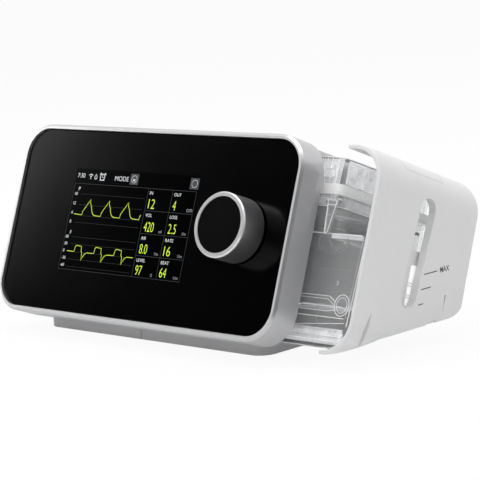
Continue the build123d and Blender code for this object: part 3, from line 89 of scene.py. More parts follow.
def board(origin, across, up, out):
    """A matrix from a flat drawing in millimetres to its place on the machine."""
    turn = Matrix((across, up, out)).transposed().to_4x4()
    return Matrix.Translation(origin) @ turn @ Matrix.Scale(MM, 4)


def reach(node, direction):
    """How far a part reaches along a direction, as its lowest and its highest value."""
    along = [v.co.dot(direction) for v in NODES[node].data.vertices]
    return min(along), max(along)


GLASS_CENTRE = RIGHT * sum(reach("front_glass", RIGHT)) / 2
GLASS_CENTRE += UP * sum(reach("front_glass", UP)) / 2 + OUT * reach("front_glass", OUT)[1]
FRONT = board(GLASS_CENTRE, RIGHT, UP, OUT)
side_x = reach("tank_shell", RIGHT)[1]
SIDE_ORIGIN = Vector((side_x, GLASS_CENTRE.y, GLASS_CENTRE.z))
SIDE = board(SIDE_ORIGIN, Vector((0, 1, 0)), Vector((0, 0, 1)), RIGHT)
print("glass centre", [round(x, 4) for x in GLASS_CENTRE], "side", round(side_x, 4))

# %% [markdown]
# ## Shader maths as plain sums
#
# A finish in Blender is a graph of nodes. It could be clicked together, but in a script a Math
# node for each sum hides the idea. So a small class wraps a socket, and `grain * 0.2 + 0.4`
# adds both Math nodes by itself. All other nodes come from its one method `add`.


# %% A socket that Python can calculate with
class Wire:
    """A socket of a node tree. Sums with it add Math nodes to that tree."""

    def __init__(self, tree, socket=None):
        self.tree = tree
        self.socket = socket

    def add(self, kind, settings=None, inputs=None, output=0):
        """Adds a node: its settings first, then the values or links of its sockets."""
        node = self.tree.nodes.new(kind)
        for name, value in (settings or {}).items():
            setattr(node, name, value)
        for name, value in (inputs or {}).items():
            if isinstance(value, Wire):
                self.tree.links.new(value.socket, node.inputs[name])
            else:
                node.inputs[name].default_value = value
        return Wire(self.tree, node.outputs[output])

    def feed(self, socket):
        """Links this wire to a socket of a node that exists already."""
        self.tree.links.new(self.socket, socket)

    def math(self, operation, first, second):
        return self.add("ShaderNodeMath", {"operation": operation}, {0: first, 1: second})

    def __add__(self, other):
        return self.math("ADD", self, other)

    def __sub__(self, other):
        return self.math("SUBTRACT", self, other)

    def __rsub__(self, other):
        return self.math("SUBTRACT", other, self)

    def __mul__(self, other):
        return self.math("MULTIPLY", self, other)

    __radd__ = __add__
    __rmul__ = __mul__

    def dot(self, direction):
        """How far this vector reaches along a direction."""
        sockets = {0: self, 1: tuple(direction)}
        return self.add("ShaderNodeVectorMath", {"operation": "DOT_PRODUCT"}, sockets, "Value")

    def step(self, start, end):
        """A smooth step of this value: 0 before start, 1 after end."""
        sockets = {"Value": self, "From Min": start, "From Max": end}
        return self.add("ShaderNodeMapRange", {"interpolation_type": "SMOOTHSTEP"}, sockets)

    def tint(self, dark, pale):
        """A colour that goes from dark to pale as this value goes from 0 to 1."""
        sockets = {0: self, 6: (*dark, 1), 7: (*pale, 1)}
        return self.add("ShaderNodeMix", {"data_type": "RGBA"}, sockets, 2)

    def noise(self, scale, detail):
        """Soft noise at this place, with that many clouds to a metre."""
        sockets = {"Vector": self, "Scale": scale, "Detail": detail}
        return self.add("ShaderNodeTexNoise", inputs=sockets)


# %% [markdown]
# ## What every finish shares
#
# No real surface is one flat value. Moulded plastic carries the fine grain of its mould, metal
# is blasted or turned, and the gloss of both drifts a little with handling. `finish` starts a
# Principled material and gives it all three: a colour that drifts by a percent or two, a gloss
# that drifts with it, and a grain that bumps the surface. Noise on Object coordinates does it
# without any picture, and the grain's size is a real size, so it is right from any distance.


# %% The start of every finish
CLOUD_SCALE = 30.0
CLOUD_DETAIL = 3.0
SPECK_DETAIL = 2.0
GLOSS_START = 0.85
GLOSS_DRIFT = 0.3


def shader_of(material):
    """The Principled shader that a new material starts with."""
    return material.node_tree.nodes["Principled BSDF"]


def place_on(material):
    """Where a point lies on its own piece, in metres."""
    return Wire(material.node_tree).add("ShaderNodeTexCoord", output="Object")


def finish(name, colour, roughness, grain=0.35, relief=0.004, drift=0.02, **sockets):
    """A Principled material with a grain and relief in millimetres and a drifting gloss."""
    material = bpy.data.materials.new(name)
    material.use_nodes = True
    shader = shader_of(material)
    place = place_on(material)
    cloud = place.noise(CLOUD_SCALE, CLOUD_DETAIL)
    dark = [value * (1 - drift) for value in colour]
    pale = [value * (1 + drift) for value in colour]
    cloud.tint(dark, pale).feed(shader.inputs["Base Color"])
    gloss = cloud * (roughness * GLOSS_DRIFT) + roughness * GLOSS_START
    gloss.feed(shader.inputs["Roughness"])
    speck = place.noise(1 / (grain * MM), SPECK_DETAIL)
    bump = {"Strength": 1.0, "Distance": relief * MM, "Height": speck}
    place.add("ShaderNodeBump", inputs=bump).feed(shader.inputs["Normal"])
    for socket, value in sockets.items():
        shader.inputs[socket.replace("_", " ")].default_value = value
    return material


FINISHES = {}

# %% [markdown]
# ## Moulded plastics
#
# The white shells and the grey base are injection moulded with a spark-eroded grain. It is too
# fine to see from a step away, but it spreads the highlights, so the plastic looks matte.
# Rubber and foam are the same idea with a coarser grain, and printed boards with more gloss.

# %% The plastics, rubbers and boards
FINISHES["white_plastic"] = finish("white_plastic", (0.79, 0.79, 0.795), 0.42)
FINISHES["grey_plastic"] = finish("grey_plastic", (0.62, 0.62, 0.63), 0.45)
FINISHES["black_plastic"] = finish("black_plastic", (0.018, 0.018, 0.02), 0.4)
FINISHES["rubber"] = finish("rubber", (0.03, 0.03, 0.032), 0.75, grain=0.5, relief=0.02)
FINISHES["grey_foam"] = finish("grey_foam", (0.2, 0.2, 0.21), 0.95, grain=0.9, relief=0.3)
FINISHES["filter_pad"] = finish("filter_pad", (0.75, 0.77, 0.8), 0.9, grain=0.7, relief=0.25)
FINISHES["circuit_board"] = finish("circuit_board", (0.02, 0.11, 0.06), 0.35, grain=1.2)
FINISHES["insulator"] = finish("insulator", (0.7, 0.66, 0.56), 0.8, grain=0.6, relief=0.05)
FINISHES["heater_film"] = finish("heater_film", (0.5, 0.24, 0.05), 0.3, grain=2.0)
print("plastics", len(FINISHES))

# %% [markdown]
# ## Metals
#
# The bezel is anodised aluminium and the knob is turned from the same bar. Both are blasted, so
# they are satin, and then their foremost faces are cut once more with a diamond tool, which
# leaves them bright. One material does both: how far a point lies out of the glass tells the cut
# face from the rest. The cut face is finely grooved and catches light from all round, which a
# render shows best as a pale surface with only a part of metal. The knob's side is given a
# darker satin than the bezel, a painted shade for the dark glass that it mirrors.


# %% The metals
METAL = {"Metallic": 1.0}
SATIN_ROUGHNESS = 0.36
CUT_SMOOTHNESS = 0.16
CUT_PALENESS = 0.5
CUT_COLOUR = (0.86, 0.86, 0.865)
CUT_BLEND = 0.04 * MM
KNOB_EDGE = 1.2 * MM
BEZEL_EDGE = 0.12 * MM


def cut_edge(name, node, depth, satin, share):
    """Satin metal whose foremost face is cut bright, down to a depth in metres."""
    material = finish(name, satin, SATIN_ROUGHNESS, 0.25)
    shader = shader_of(material)
    edge = reach(node, OUT)[1] - depth
    cut = place_on(material).dot(OUT).step(edge - CUT_BLEND, edge + CUT_BLEND)
    (SATIN_ROUGHNESS - cut * CUT_SMOOTHNESS).feed(shader.inputs["Roughness"])
    (share - cut * CUT_PALENESS).feed(shader.inputs["Metallic"])
    cut.tint(satin, CUT_COLOUR).feed(shader.inputs["Base Color"])
    return material


FINISHES["steel"] = finish("steel", (0.55, 0.55, 0.56), 0.25, 0.4, **METAL)
FINISHES["heater_metal"] = finish("heater_metal", (0.62, 0.62, 0.63), 0.3, 0.5, **METAL)
BEZEL_SATIN = (0.57, 0.57, 0.58)
FINISHES["satin_aluminium"] = cut_edge("satin_aluminium", "bezel", BEZEL_EDGE, BEZEL_SATIN, 0.85)
# A darker satin than the bezel's: painted shade on the knob's side, for the dark glass that it
# mirrors.
KNOB_SHADED_SATIN = (0.42, 0.42, 0.43)
FINISHES["knob_metal"] = cut_edge("knob_metal", "knob_body", KNOB_EDGE, KNOB_SHADED_SATIN, 0.95)
knob_front = reach("knob_body", OUT)[1]
print("knob front", round((knob_front - GLASS_CENTRE.dot(OUT)) / MM, 2), "mm out of the glass")

# %% [markdown]
# ## Black glass
#
# The front is glass that is printed black from behind. What gives it away is that it is almost
# black and yet mirrors the knob. Ordinary glass mirrors a twentieth of a white room, and that
# would turn it grey here, so its coating is given a low specular level.

# %% The black glass and the knob's face
DARK = {"Specular IOR Level": 0.2}
DARKER = {"Specular IOR Level": 0.08}
FINISHES["black_glass"] = finish("black_glass", (0.0006, 0.0005, 0.0006), 0.16, 3.0, 0.0, **DARK)
FINISHES["knob_black"] = finish("knob_black", (0.0015, 0.0012, 0.0015), 0.3, 0.25, 0.002, **DARKER)
FINISHES["display"] = finish("display", (0.01, 0.01, 0.012), 0.2, 1.0, 0.001)
print("finishes so far", len(FINISHES))

# %% [markdown]
# ## Clear and milky plastic
#
# The tank is clear polycarbonate. Its walls are thin and full of small mould marks, so it bends
# the picture behind it little and carries a slight white veil. That is a Principled material
# with most of its light transmitted at a low index, and a coat for its gloss. Light cannot find
# its way from a lamp through such a wall in the time that a render has, and the tank would be
# black inside. So for rays that only ask whether a lamp is in sight, a Transparent shader
# stands in. The silicone of the gasket lets light in but no picture through, which is what
# subsurface scattering is for. A gleam of its own stands for the light that reaches it through
# the tank.


# %% The clear and the milky plastic
CLEAR = {"Transmission_Weight": 0.86, "IOR": 1.15, "Coat_Weight": 0.8, "Coat_Roughness": 0.05}
LAMP_SHADE = 0.94
GLEAM = {"Emission_Color": (1, 1, 1, 1)}
MILKY = {"Subsurface_Weight": 0.5, "Subsurface_Scale": 0.004, "Subsurface_Radius": (1, 1, 1)}


def show(material, surface):
    """Makes a shader the surface of a material."""
    surface.feed(material.node_tree.nodes["Material Output"].inputs["Surface"])


def open_to_lamps(material, shade):
    """Lets the light of the lamps through a clear material, weakened to a shade."""
    body = Wire(material.node_tree, shader_of(material).outputs["BSDF"])
    path = body.add("ShaderNodeLightPath", output="Is Shadow Ray")
    through = body.add("ShaderNodeBsdfTransparent", inputs={"Color": (shade, shade, shade, 1)})
    show(material, body.add("ShaderNodeMixShader", inputs={0: path, 1: body, 2: through}))
    return material


clear = finish("clear_plastic", (0.97, 0.975, 0.98), 0.06, 4.0, 0.01, 0.01, **CLEAR)
FINISHES["clear_plastic"] = open_to_lamps(clear, LAMP_SHADE)
milky = finish("milky_silicone", (0.93, 0.935, 0.94), 0.45, Emission_Strength=0.1, **MILKY, **GLEAM)
FINISHES["milky_silicone"] = milky
print("clear and milky", clear.name, milky.name)

# %% [markdown]
# ## Dress the CAD parts
#
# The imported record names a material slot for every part. Reading the slots from it keeps the
# looks and the CAD in step: a part that changes its slot there changes its finish here.

# %% Each part's finish
for part in frame["record"]["subparts"]:
    slot = NODES[part["node"]].material_slots[0]
    slot.material = FINISHES[part["material_slot"]]
print("finishes", len(FINISHES))

# %% [markdown]
# ## Ink: how the display is drawn
#
# A display glows from behind the glass, line by line. An image would be one way to draw it,
# but it blurs up close. Here each line and letter is a very thin solid just above the glass.
# Straight lines and plates are flattened cubes, which a matrix stretches, turns and places.
# Everything of one colour goes into one mesh, called the ink, which makes one piece.

# %% The pens for straight lines and blocks
INK = 0.03
INK_HEIGHT = 0.06


def block(ink, *ranges):
    """A block between two distances right, two up and two out of its board."""
    size = Matrix.Diagonal([abs(end - start) for start, end in ranges] + [1])
    middle = [(start + end) / 2 for start, end in ranges]
    bmesh.ops.create_cube(ink, size=1, matrix=Matrix.Translation(middle) @ size)


def rule(ink, start, end, width=0.22):
    """A straight line of that width between two points."""
    run = Vector(end) - Vector(start)
    middle = (Vector(start) + Vector(end)) / 2
    turn = Matrix.Rotation(math.atan2(run.y, run.x), 4, "Z")
    size = Matrix.Diagonal((run.length, width, INK, 1))
    place = Matrix.Translation((middle.x, middle.y, INK_HEIGHT)) @ turn @ size
    bmesh.ops.create_cube(ink, size=1, matrix=place)


# %% [markdown]
# ## Pens for bent lines and letters
#
# A bent line is a curve with a round section, which Blender makes a tube. Letters are a text
# object. Both are made a mesh before they are moved, so that what ends up in the piece is plain
# geometry. A stroke of the display is the same tube, flattened to a tenth.


# %% The pens for bent lines and letters
STROKE_FLATNESS = 0.1
TEXT_DEPTH = 0.02
TEXT_THINNING = -0.012


def as_mesh(curve):
    """The mesh of a curve or a text."""
    shape = bpy.data.objects.new("shape", curve)
    mesh = bpy.data.meshes.new_from_object(shape)
    bpy.data.objects.remove(shape)
    return mesh


def tube(points, width, rounding, closed):
    """The mesh of a line with a round section through points in space."""
    curve = bpy.data.curves.new("tube", "CURVE")
    curve.dimensions = "3D"
    curve.bevel_depth = width / 2
    curve.bevel_resolution = rounding
    curve.use_fill_caps = True
    spline = curve.splines.new("POLY")
    spline.points.add(len(points) - 1)
    for point, place in zip(spline.points, points):
        point.co = (*place, 1)
    spline.use_cyclic_u = closed
    return as_mesh(curve)


def take(ink, mesh, place):
    """Moves a mesh to its place and adds it to the ink."""
    mesh.transform(place)
    ink.from_mesh(mesh)
    bpy.data.meshes.remove(mesh)


def stroke(ink, points, width=0.3, closed=False):
    """A bent line on the board, as one flattened tube."""
    mesh = tube([(x, y, 0) for x, y in points], width, 1, closed)
    flat = Matrix.Diagonal((1, 1, STROKE_FLATNESS, 1))
    take(ink, mesh, Matrix.Translation((0, 0, INK_HEIGHT)) @ flat)


def arc(x, y, radius, start=0, end=360, steps=24):
    """Points along an arc of a circle, in degrees."""
    angles = [math.radians(start + (end - start) * i / steps) for i in range(steps + 1)]
    return [(x + radius * math.cos(a), y + radius * math.sin(a)) for a in angles]


def write(ink, text, left, bottom, height, width=None, thinning=TEXT_THINNING):
    """Letters of that height, and of that width over all if it is given."""
    curve = bpy.data.curves.new("text", "FONT")
    curve.body = text
    curve.extrude = TEXT_DEPTH
    curve.offset = thinning
    mesh = as_mesh(curve)
    xs = [v.co.x for v in mesh.vertices]
    ys = [v.co.y for v in mesh.vertices]
    tall = height / (max(ys) - min(ys))
    wide = width / (max(xs) - min(xs)) if width else tall
    size = Matrix.Diagonal((wide, tall, 1, 1))
    place = Matrix.Translation((left, bottom, INK_HEIGHT)) @ size
    take(ink, mesh, place @ Matrix.Translation((-min(xs), -min(ys), 0)))


# %% [markdown]
# ## From mesh to piece
#
# Every piece made here ends the same way: it gets its place, its finish and the body that it
# moves with. One function does that for all.


# %% The last step of every piece
def piece(name, mesh, place, material, body):
    """Makes a bmesh an object of the machine, which moves with a CAD body."""
    bmesh.ops.transform(mesh, matrix=place, verts=mesh.verts)
    data = bpy.data.meshes.new(name)
    mesh.to_mesh(data)
    mesh.free()
    data.materials.append(material)
    made = bpy.data.objects.new(name, data)
    SCENE.collection.objects.link(made)
    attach(made, body)
    print(name, "faces", len(data.polygons), "mm", [round(x / MM, 1) for x in made.dimensions])


def on_display(name, mesh, material):
    """A piece of the display, on the board of the front glass."""
    piece(name, mesh, FRONT, material, "main_unit")


# %% [markdown]
# ## Pixels that glow
#
# A display's colour is light, so its material emits. Lit pixels aren't even, because they stand
# in columns. A wave as fine as the columns ripples the brightness, which shows only up close.


# %% The colours of the display
PIXEL = 0.22 * MM
PIXEL_GAP = 0.82
UNLIT = 0.3


def glow(name, colour):
    """Pixels that shine by themselves, with the fine ripple of a pixel grid."""
    sockets = {"Emission_Strength": 1.0, "Specular_IOR_Level": 0.1}
    material = finish(name, [c * UNLIT for c in colour], 0.4, 0.2, **sockets)
    place = place_on(material)
    ripple = {"Vector": place, "Scale": 1 / PIXEL, "Distortion": 0.0}
    wave = place.add("ShaderNodeTexWave", {"bands_direction": "X"}, ripple, "Fac")
    dim = [c * PIXEL_GAP for c in colour]
    wave.tint(dim, colour).feed(shader_of(material).inputs["Emission Color"])
    return material


LIME = glow("display_lime", (0.62, 0.85, 0.05))
WHITE = glow("display_white", (0.75, 0.78, 0.8))
PALE = glow("display_grey", (0.32, 0.33, 0.34))
LINE = glow("display_line", (0.036, 0.038, 0.042))
TILE = glow("display_tile", (0.06, 0.062, 0.066))
print("display colours", LIME.name, WHITE.name, PALE.name, LINE.name, TILE.name)

# %% [markdown]
# ## The display's window
#
# Behind the glass lies a display of the 4.3 inch size. Switched on, its black is a trace deeper
# than the print round it, so its window can be made out. It is a thin plate on the board.

# %% The window
SCREEN_LEFT = -59.0
SCREEN_RIGHT = 34.9
SCREEN_TOP = 28.8
SCREEN_BOTTOM = -27.2
window = bmesh.new()
block(window, (SCREEN_LEFT, SCREEN_RIGHT), (SCREEN_BOTTOM, SCREEN_TOP), (0, INK))
NIGHT = finish("display_black", (0.0004, 0.0004, 0.0005), 0.16, 2.0, 0.0, **DARKER)
on_display("display_window", window, NIGHT)

# %% [markdown]
# ## Lines of the layout
#
# The page has a status bar on top, two graphs at the left and a table of eight numbers at the
# right. All its lines are dark grey. The table's rows and columns are two lists of places, and
# two loops draw them, so a table of another size needs no new code.

# %% The frame, the table and the graph grids
BAR = 20.5
COLUMNS = [-1.1, 17.0, 34.1]
ROWS = [20.4, 8.5, -3.8, -15.6, -27.0]
UPPER_GRID = [14.8, 8.8, 2.9, -1.0]
LOWER_GRID = [-9.0, -12.9, -17.3, -21.3, -25.3]
GRID_SPAN = (-52.8, -3.0)
GRID_WIDTH = 0.12
PAGE_LEFT = -58.6
lines = bmesh.new()
for v in ROWS:
    rule(lines, (COLUMNS[0], v), (COLUMNS[-1], v))
for u in COLUMNS:
    rule(lines, (u, ROWS[0]), (u, ROWS[-1]))
rule(lines, (PAGE_LEFT, BAR), (COLUMNS[0], BAR))
rule(lines, (PAGE_LEFT, ROWS[-1]), (COLUMNS[0], ROWS[-1]))
rule(lines, (PAGE_LEFT, BAR), (PAGE_LEFT, ROWS[-1]))
for v in UPPER_GRID + LOWER_GRID:
    rule(lines, (GRID_SPAN[0], v), (GRID_SPAN[1], v), GRID_WIDTH)
on_display("display_lines", lines, LINE)

# %% [markdown]
# ## The two traces
#
# The upper trace is the pressure and the lower one the flow. A breath repeats, so each trace is
# one breath's few points and a loop that shifts them along.

# %% The traces
PRESSURE = [(0, 3.3), (0.3, 5.3), (3.2, 9.6), (4.9, 12.1), (5.1, 10.2), (6.4, 8.2)]
PRESSURE += [(7.4, 5.6), (8.6, 4.0), (10.2, 3.4)]
PRESSURE_PERIOD = 14.8
FLOW = [(0, -17.0), (0.4, -14.2), (1.1, -13.5), (5.3, -13.9), (5.5, -16.5), (6.4, -17.4)]
FLOW += [(6.5, -21.6), (7.4, -19.6), (8.7, -17.8), (10.1, -17.1)]
FLOW_PERIOD = 15.6
BREATHS = 3
TRACE_WIDTH = 0.33


def trace(ink, start, breath, first, period, end):
    """A graph: its start, the points of one breath again and again, and its end."""
    points = [start]
    for count in range(BREATHS):
        points += [(first + count * period + u, v) for u, v in breath]
    stroke(ink, points + end, TRACE_WIDTH)


traces = bmesh.new()
next_breath = -48.5 + BREATHS * PRESSURE_PERIOD
rise = [(next_breath, 3.3), (next_breath + 0.3, 5.0), (next_breath + 0.9, 6.0)]
trace(traces, (-54.8, 3.6), PRESSURE, -48.5, PRESSURE_PERIOD, rise)
trace(traces, (-54.4, -16.9), FLOW, -48.8, FLOW_PERIOD, [(-2.8, -17.1)])
on_display("display_traces", traces, LIME)

# %% [markdown]
# ## Numbers and labels
#
# Eight large numbers tell the state, each with a small label above it and a unit below. They
# are plain numbers and plain words. A table in the script would do for eight, but a loop over
# the cells keeps each number in its row and column when the table is moved.

# %% The table's contents
CELLS = [
    ("12", "IN", ""),
    ("4", "OUT", "cm"),
    ("420", "VOL", "ml"),
    ("2.5", "LOSS", "l/m"),
    ("8.0", "AIR", "l/m"),
    ("16", "RATE", "1/m"),
    ("97", "LEVEL", "%"),
    ("64", "BEAT", "1/m"),
]
DIGIT_HEIGHT = 5.1
DIGIT_PITCH = 2.55
DIGIT_GAP = 0.4
POINT_PITCH = 0.35
LABEL_HEIGHT = 1.7
UNIT_HEIGHT = 1.6
NUMBER_PLACE = (1.9, 1.2)
LABEL_PLACE = (1.5, -3.2)
UNIT_PLACE = (-4.6, 1.0)
digits = bmesh.new()
labels = bmesh.new()
units = bmesh.new()
for index, (number, label, unit) in enumerate(CELLS):
    row, column = divmod(index, 2)
    left, right = COLUMNS[column], COLUMNS[column + 1]
    top, foot = ROWS[row], ROWS[row + 1]
    places = len(number.replace(".", "")) + POINT_PITCH * number.count(".")
    width = places * DIGIT_PITCH - DIGIT_GAP
    write(digits, number, left + NUMBER_PLACE[0], foot + NUMBER_PLACE[1], DIGIT_HEIGHT, width)
    write(labels, label, left + LABEL_PLACE[0], top + LABEL_PLACE[1], LABEL_HEIGHT)
    if unit:
        write(units, unit, right + UNIT_PLACE[0], foot + UNIT_PLACE[1], UNIT_HEIGHT)
on_display("display_digits", digits, LIME)
on_display("display_units", units, PALE)

# %% [markdown]
# ## Scales and the status bar
#
# The scale numbers stand left of each graph, and a letter over each scale says pressure or flow.
# The status bar starts with the time and the mode. All are white like the labels, so they go
# into the same ink.

# %% The scales and the words of the status bar
UPPER_SCALE = [(13.9, "18"), (8.7, "12"), (3.6, "6"), (-1.5, "0")]
LOWER_SCALE = [(-9.8, "60"), (-13.7, "30"), (-17.6, "0"), (-21.5, "-30"), (-25.4, "-60")]
for v, number in UPPER_SCALE:
    write(labels, number, -57.0, v, LABEL_HEIGHT)
for v, number in LOWER_SCALE:
    write(labels, number, -57.6, v, UNIT_HEIGHT)
write(labels, "P", -54.9, 16.6, 2.0)
write(labels, "F", -54.9, -7.6, 1.9)
write(labels, "7:30", -57.7, 23.8, 2.4)
write(labels, "MODE", -28.2, 23.3, 2.5, 10.5)
print("scale numbers", len(UPPER_SCALE) + len(LOWER_SCALE))

# %% [markdown]
# ## Icons
#
# The icons are signs that any device uses: radio waves, a drop, an alarm clock, a padlock and an
# arrow to the start. A font of icons could hold them. But each is only a few strokes, so the
# pens draw them round one point, and an icon moves when its point does.

# %% The icons
FINE_PEN = 0.3
PEN = 0.35
BOLD_PEN = 0.4
WAVES = (-47.3, 23.9)
DROP = (-43.3, 24.3)
CLOCK = (-38.1, 24.7)
for radius in (0.9, 2.0):
    stroke(labels, arc(*WAVES, radius, 45, 135, 8), BOLD_PEN)
stroke(labels, arc(WAVES[0], WAVES[1] - 0.2, 0.2), FINE_PEN, closed=True)
stroke(labels, [(DROP[0], DROP[1] + 1.9)] + arc(*DROP, 0.9, 150, 390, 12), PEN, closed=True)
stroke(labels, arc(*CLOCK, 1.7), BOLD_PEN, closed=True)
hands = [(CLOCK[0], CLOCK[1] + 1.1), CLOCK, (CLOCK[0] + 0.8, CLOCK[1] - 0.3)]
stroke(labels, hands, FINE_PEN)
for side in (-1, 1):
    bell = 90 - side * 45
    stroke(labels, arc(*CLOCK, 2.6, bell - 16, bell + 16, 6), 0.5)
    foot = (CLOCK[0] + side * 1.2, CLOCK[1] - 1.3)
    stroke(labels, [foot, (foot[0] + side * 0.5, foot[1] - 0.7)], BOLD_PEN)
print("icons at", WAVES, DROP, CLOCK)

# %% [markdown]
# ## Two keys on the status bar
#
# The padlock and the arrow sit on small grey tiles, which tell a finger where to press. Each has
# a ring round its sign. The tiles are the last ink of the display.

# %% The keys
TILES = [(-13.3, 24.7), (31.6, 24.5)]
TILE_SIDE = 6.2
TILE_HEIGHT = 5.9
tiles = bmesh.new()
for u, v in TILES:
    rule(tiles, (u - TILE_SIDE / 2, v), (u + TILE_SIDE / 2, v), TILE_HEIGHT)
    stroke(labels, arc(u, v, 2.0), PEN, closed=True)
u, v = TILES[0]
rule(labels, (u - 0.9, v - 0.45), (u + 0.9, v - 0.45), 1.2)
stroke(labels, arc(u, v + 0.15, 0.6, 0, 180, 8), FINE_PEN)
u, v = TILES[1]
stroke(labels, [(u - 0.9, v - 0.1), (u, v + 0.8), (u + 0.9, v - 0.1)], 0.25)
on_display("display_labels", labels, WHITE)
on_display("display_tiles", tiles, TILE)

# %% [markdown]
# ## Water marks
#
# Three lines printed on the drawer's side show how full the tank is. They slant with the slot,
# each nearer the front than the one above, and the top one says MAX. Printing is a film of ink
# a few hundredths of a millimetre thick, so the same pens draw it, in a dark grey paint.

# %% The marks on the drawer's side
MARKS = [(57.7, 68.2, -24.3), (54.8, 62.6, -31.5), (51.8, 55.8, -38.8)]
MARK_WIDTH = 0.5
MAX_PLACE = (70.75, -25.6)
MAX_HEIGHT = 2.8
MAX_WIDTH = 7.4
marks = bmesh.new()
for start, end, height in MARKS:
    rule(marks, (start, height), (end, height), MARK_WIDTH)
write(marks, "MAX", *MAX_PLACE, MAX_HEIGHT, MAX_WIDTH, thinning=0.01)
PRINT = finish("mark_print", (0.06, 0.06, 0.065), 0.5, grain=0.3)
SIDE_FILM = SIDE @ Matrix.Translation((0, 0, INK - INK_HEIGHT))
piece("water_marks", marks, SIDE_FILM, PRINT, "drawer")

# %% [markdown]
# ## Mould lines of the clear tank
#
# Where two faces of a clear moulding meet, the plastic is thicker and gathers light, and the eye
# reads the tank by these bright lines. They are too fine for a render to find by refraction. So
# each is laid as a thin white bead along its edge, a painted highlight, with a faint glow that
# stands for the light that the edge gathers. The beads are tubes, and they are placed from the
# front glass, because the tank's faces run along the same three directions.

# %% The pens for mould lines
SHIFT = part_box("tank_shell")[1].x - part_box("bezel")[1].x
FACE = -19.9
SIDE_FACE = 112.1
BEAD_WIDTH = 0.45


def bead(ink, points, width=BEAD_WIDTH, closed=False):
    """A round bead through points that are given right, up and out, in millimetres."""
    take(ink, tube(points, width, 2, closed), Matrix())


def face_lines(ink, *lines):
    """Beads on the tank's front face, each with a width and points right and up."""
    for width, points in lines:
        bead(ink, [(u, v, FACE) for u, v in points], width)


def ring(ink, centre, across, tall, width, steps=28):
    """An oval bead on the tank's front face."""
    angles = [2 * math.pi * i / steps for i in range(steps)]
    u, v = centre
    points = [(u + across * math.cos(a), v + tall * math.sin(a), FACE) for a in angles]
    bead(ink, points, width, closed=True)


print("drawer out", round(SHIFT / MM, 1), "mm")

# %% [markdown]
# ## Lines of the shoulder, the neck and the lid
#
# The lid and the tub's neck have a lower and an upper rim that run along the front and round the
# corner. Between them stands a corner post, and the lid's two faces carry a grid of fine ribs.
# Lines that go behind the bezel start there, out of sight. Loops over the places of the ribs
# draw the grids.

# %% The upper lines
NECK_START = 50.0
LINE_START = 60.0
SHOULDER = 8.0
RIB_WIDTH = 0.3
bright = bmesh.new()
face_lines(bright, (0.6, [(NECK_START, SHOULDER), (131.5, SHOULDER)]))
for v, back in ((21.8, -60), (46.4, -80)):
    front_edge = [(NECK_START, v, FACE), (108.5, v, FACE)]
    bead(bright, front_edge + [(SIDE_FACE, v, -23.4), (SIDE_FACE, v, back)])
face_lines(
    bright,
    (BEAD_WIDTH, [(109.1, 46.3), (106.7, 21.9)]),
    (BEAD_WIDTH, [(111.6, 46.3), (109.9, 21.9)]),
)
for v in (43.2, 40.2, 36.4):
    face_lines(bright, (RIB_WIDTH, [(LINE_START, v), (106.0, v)]))
for u in (97.5, 100.5, 104.0):
    face_lines(bright, (RIB_WIDTH, [(u, 46.2), (u, 33.4)]))
for v in (43.7, 40.6, 34.4):
    bead(bright, [(SIDE_FACE, v, -24.0), (SIDE_FACE, v, -37.5)], RIB_WIDTH)
for w in (-24.0, -30.5, -37.5):
    bead(bright, [(SIDE_FACE, 43.7, w), (SIDE_FACE, 34.4, w)], RIB_WIDTH)
face_lines(bright, (0.4, [(LINE_START, 25.3), (108.5, 25.3)]))
print("upper lines, vertices", len(bright.verts))

# %% [markdown]
# ## Lines of the tub and its float
#
# Down the tub's right corner run two upright edges. At the bottom lies the ring of the float on
# its arm, and below it the edges of the floor. They go into the same mesh as the upper lines,
# because one moulding makes one piece.

# %% The lower lines
FLOAT = (126.8, -27.0)
bead(bright, [(132.5, 7.6, -22.2), (130.1, -37.0, -22.2)], 0.55)
bead(bright, [(131.4, 6.0, -21.4), (129.2, -33.0, -21.4)], 0.25)
ring(bright, FLOAT, 4.6, 5.3, 0.4)
ring(bright, FLOAT, 3.2, 3.8, 0.3)
face_lines(
    bright,
    (0.35, [(LINE_START, -23.2), (118.3, -23.0), (122.4, -25.6)]),
    (0.3, [(LINE_START, -24.6), (117.6, -24.5), (121.8, -27.2)]),
    (0.35, [(LINE_START, -30.4), (118.6, -30.4), (122.6, -29.6)]),
    (0.4, [(LINE_START, -33.4), (129.5, -33.4)]),
    (0.3, [(LINE_START, -38.6), (98.0, -38.6), (130.2, -35.6)]),
    (0.2, [(LINE_START, -42.2), (129.6, -42.6)]),
    (0.2, [(LINE_START, -44.6), (129.4, -45.0)]),
    (0.35, [(121.2, -15.2), (121.9, -15.6), (121.9, -16.8), (121.2, -17.2)]),
    (0.5, [(121.2, 3.5), (121.8, 4.1)]),
)
# White, with a faint glow: the painted highlight of the light that the tank's edges gather.
EDGE_GLEAM = {"Coat_Weight": 0.6, "Emission_Strength": 0.08, **GLEAM}
EDGE_HIGHLIGHT = finish("mould_edge_highlight", (0.95, 0.95, 0.96), 0.25, 1.0, 0.002, **EDGE_GLEAM)
piece("tank_mould_lines", bright, FRONT, EDGE_HIGHLIGHT, "drawer")

# %% [markdown]
# ## The veil in the clear tank
#
# Ribs, welds and drops behind a clear wall blur into a white veil where they are dense: in the
# lid, under the rim and along the floor. Fog inside the tank would be slow and noisy to render.
# Thin sheets do it, each with a blotchy transparency from noise, so that what is behind them
# still shows. Where the veil is dense, several sheets lie behind each other.

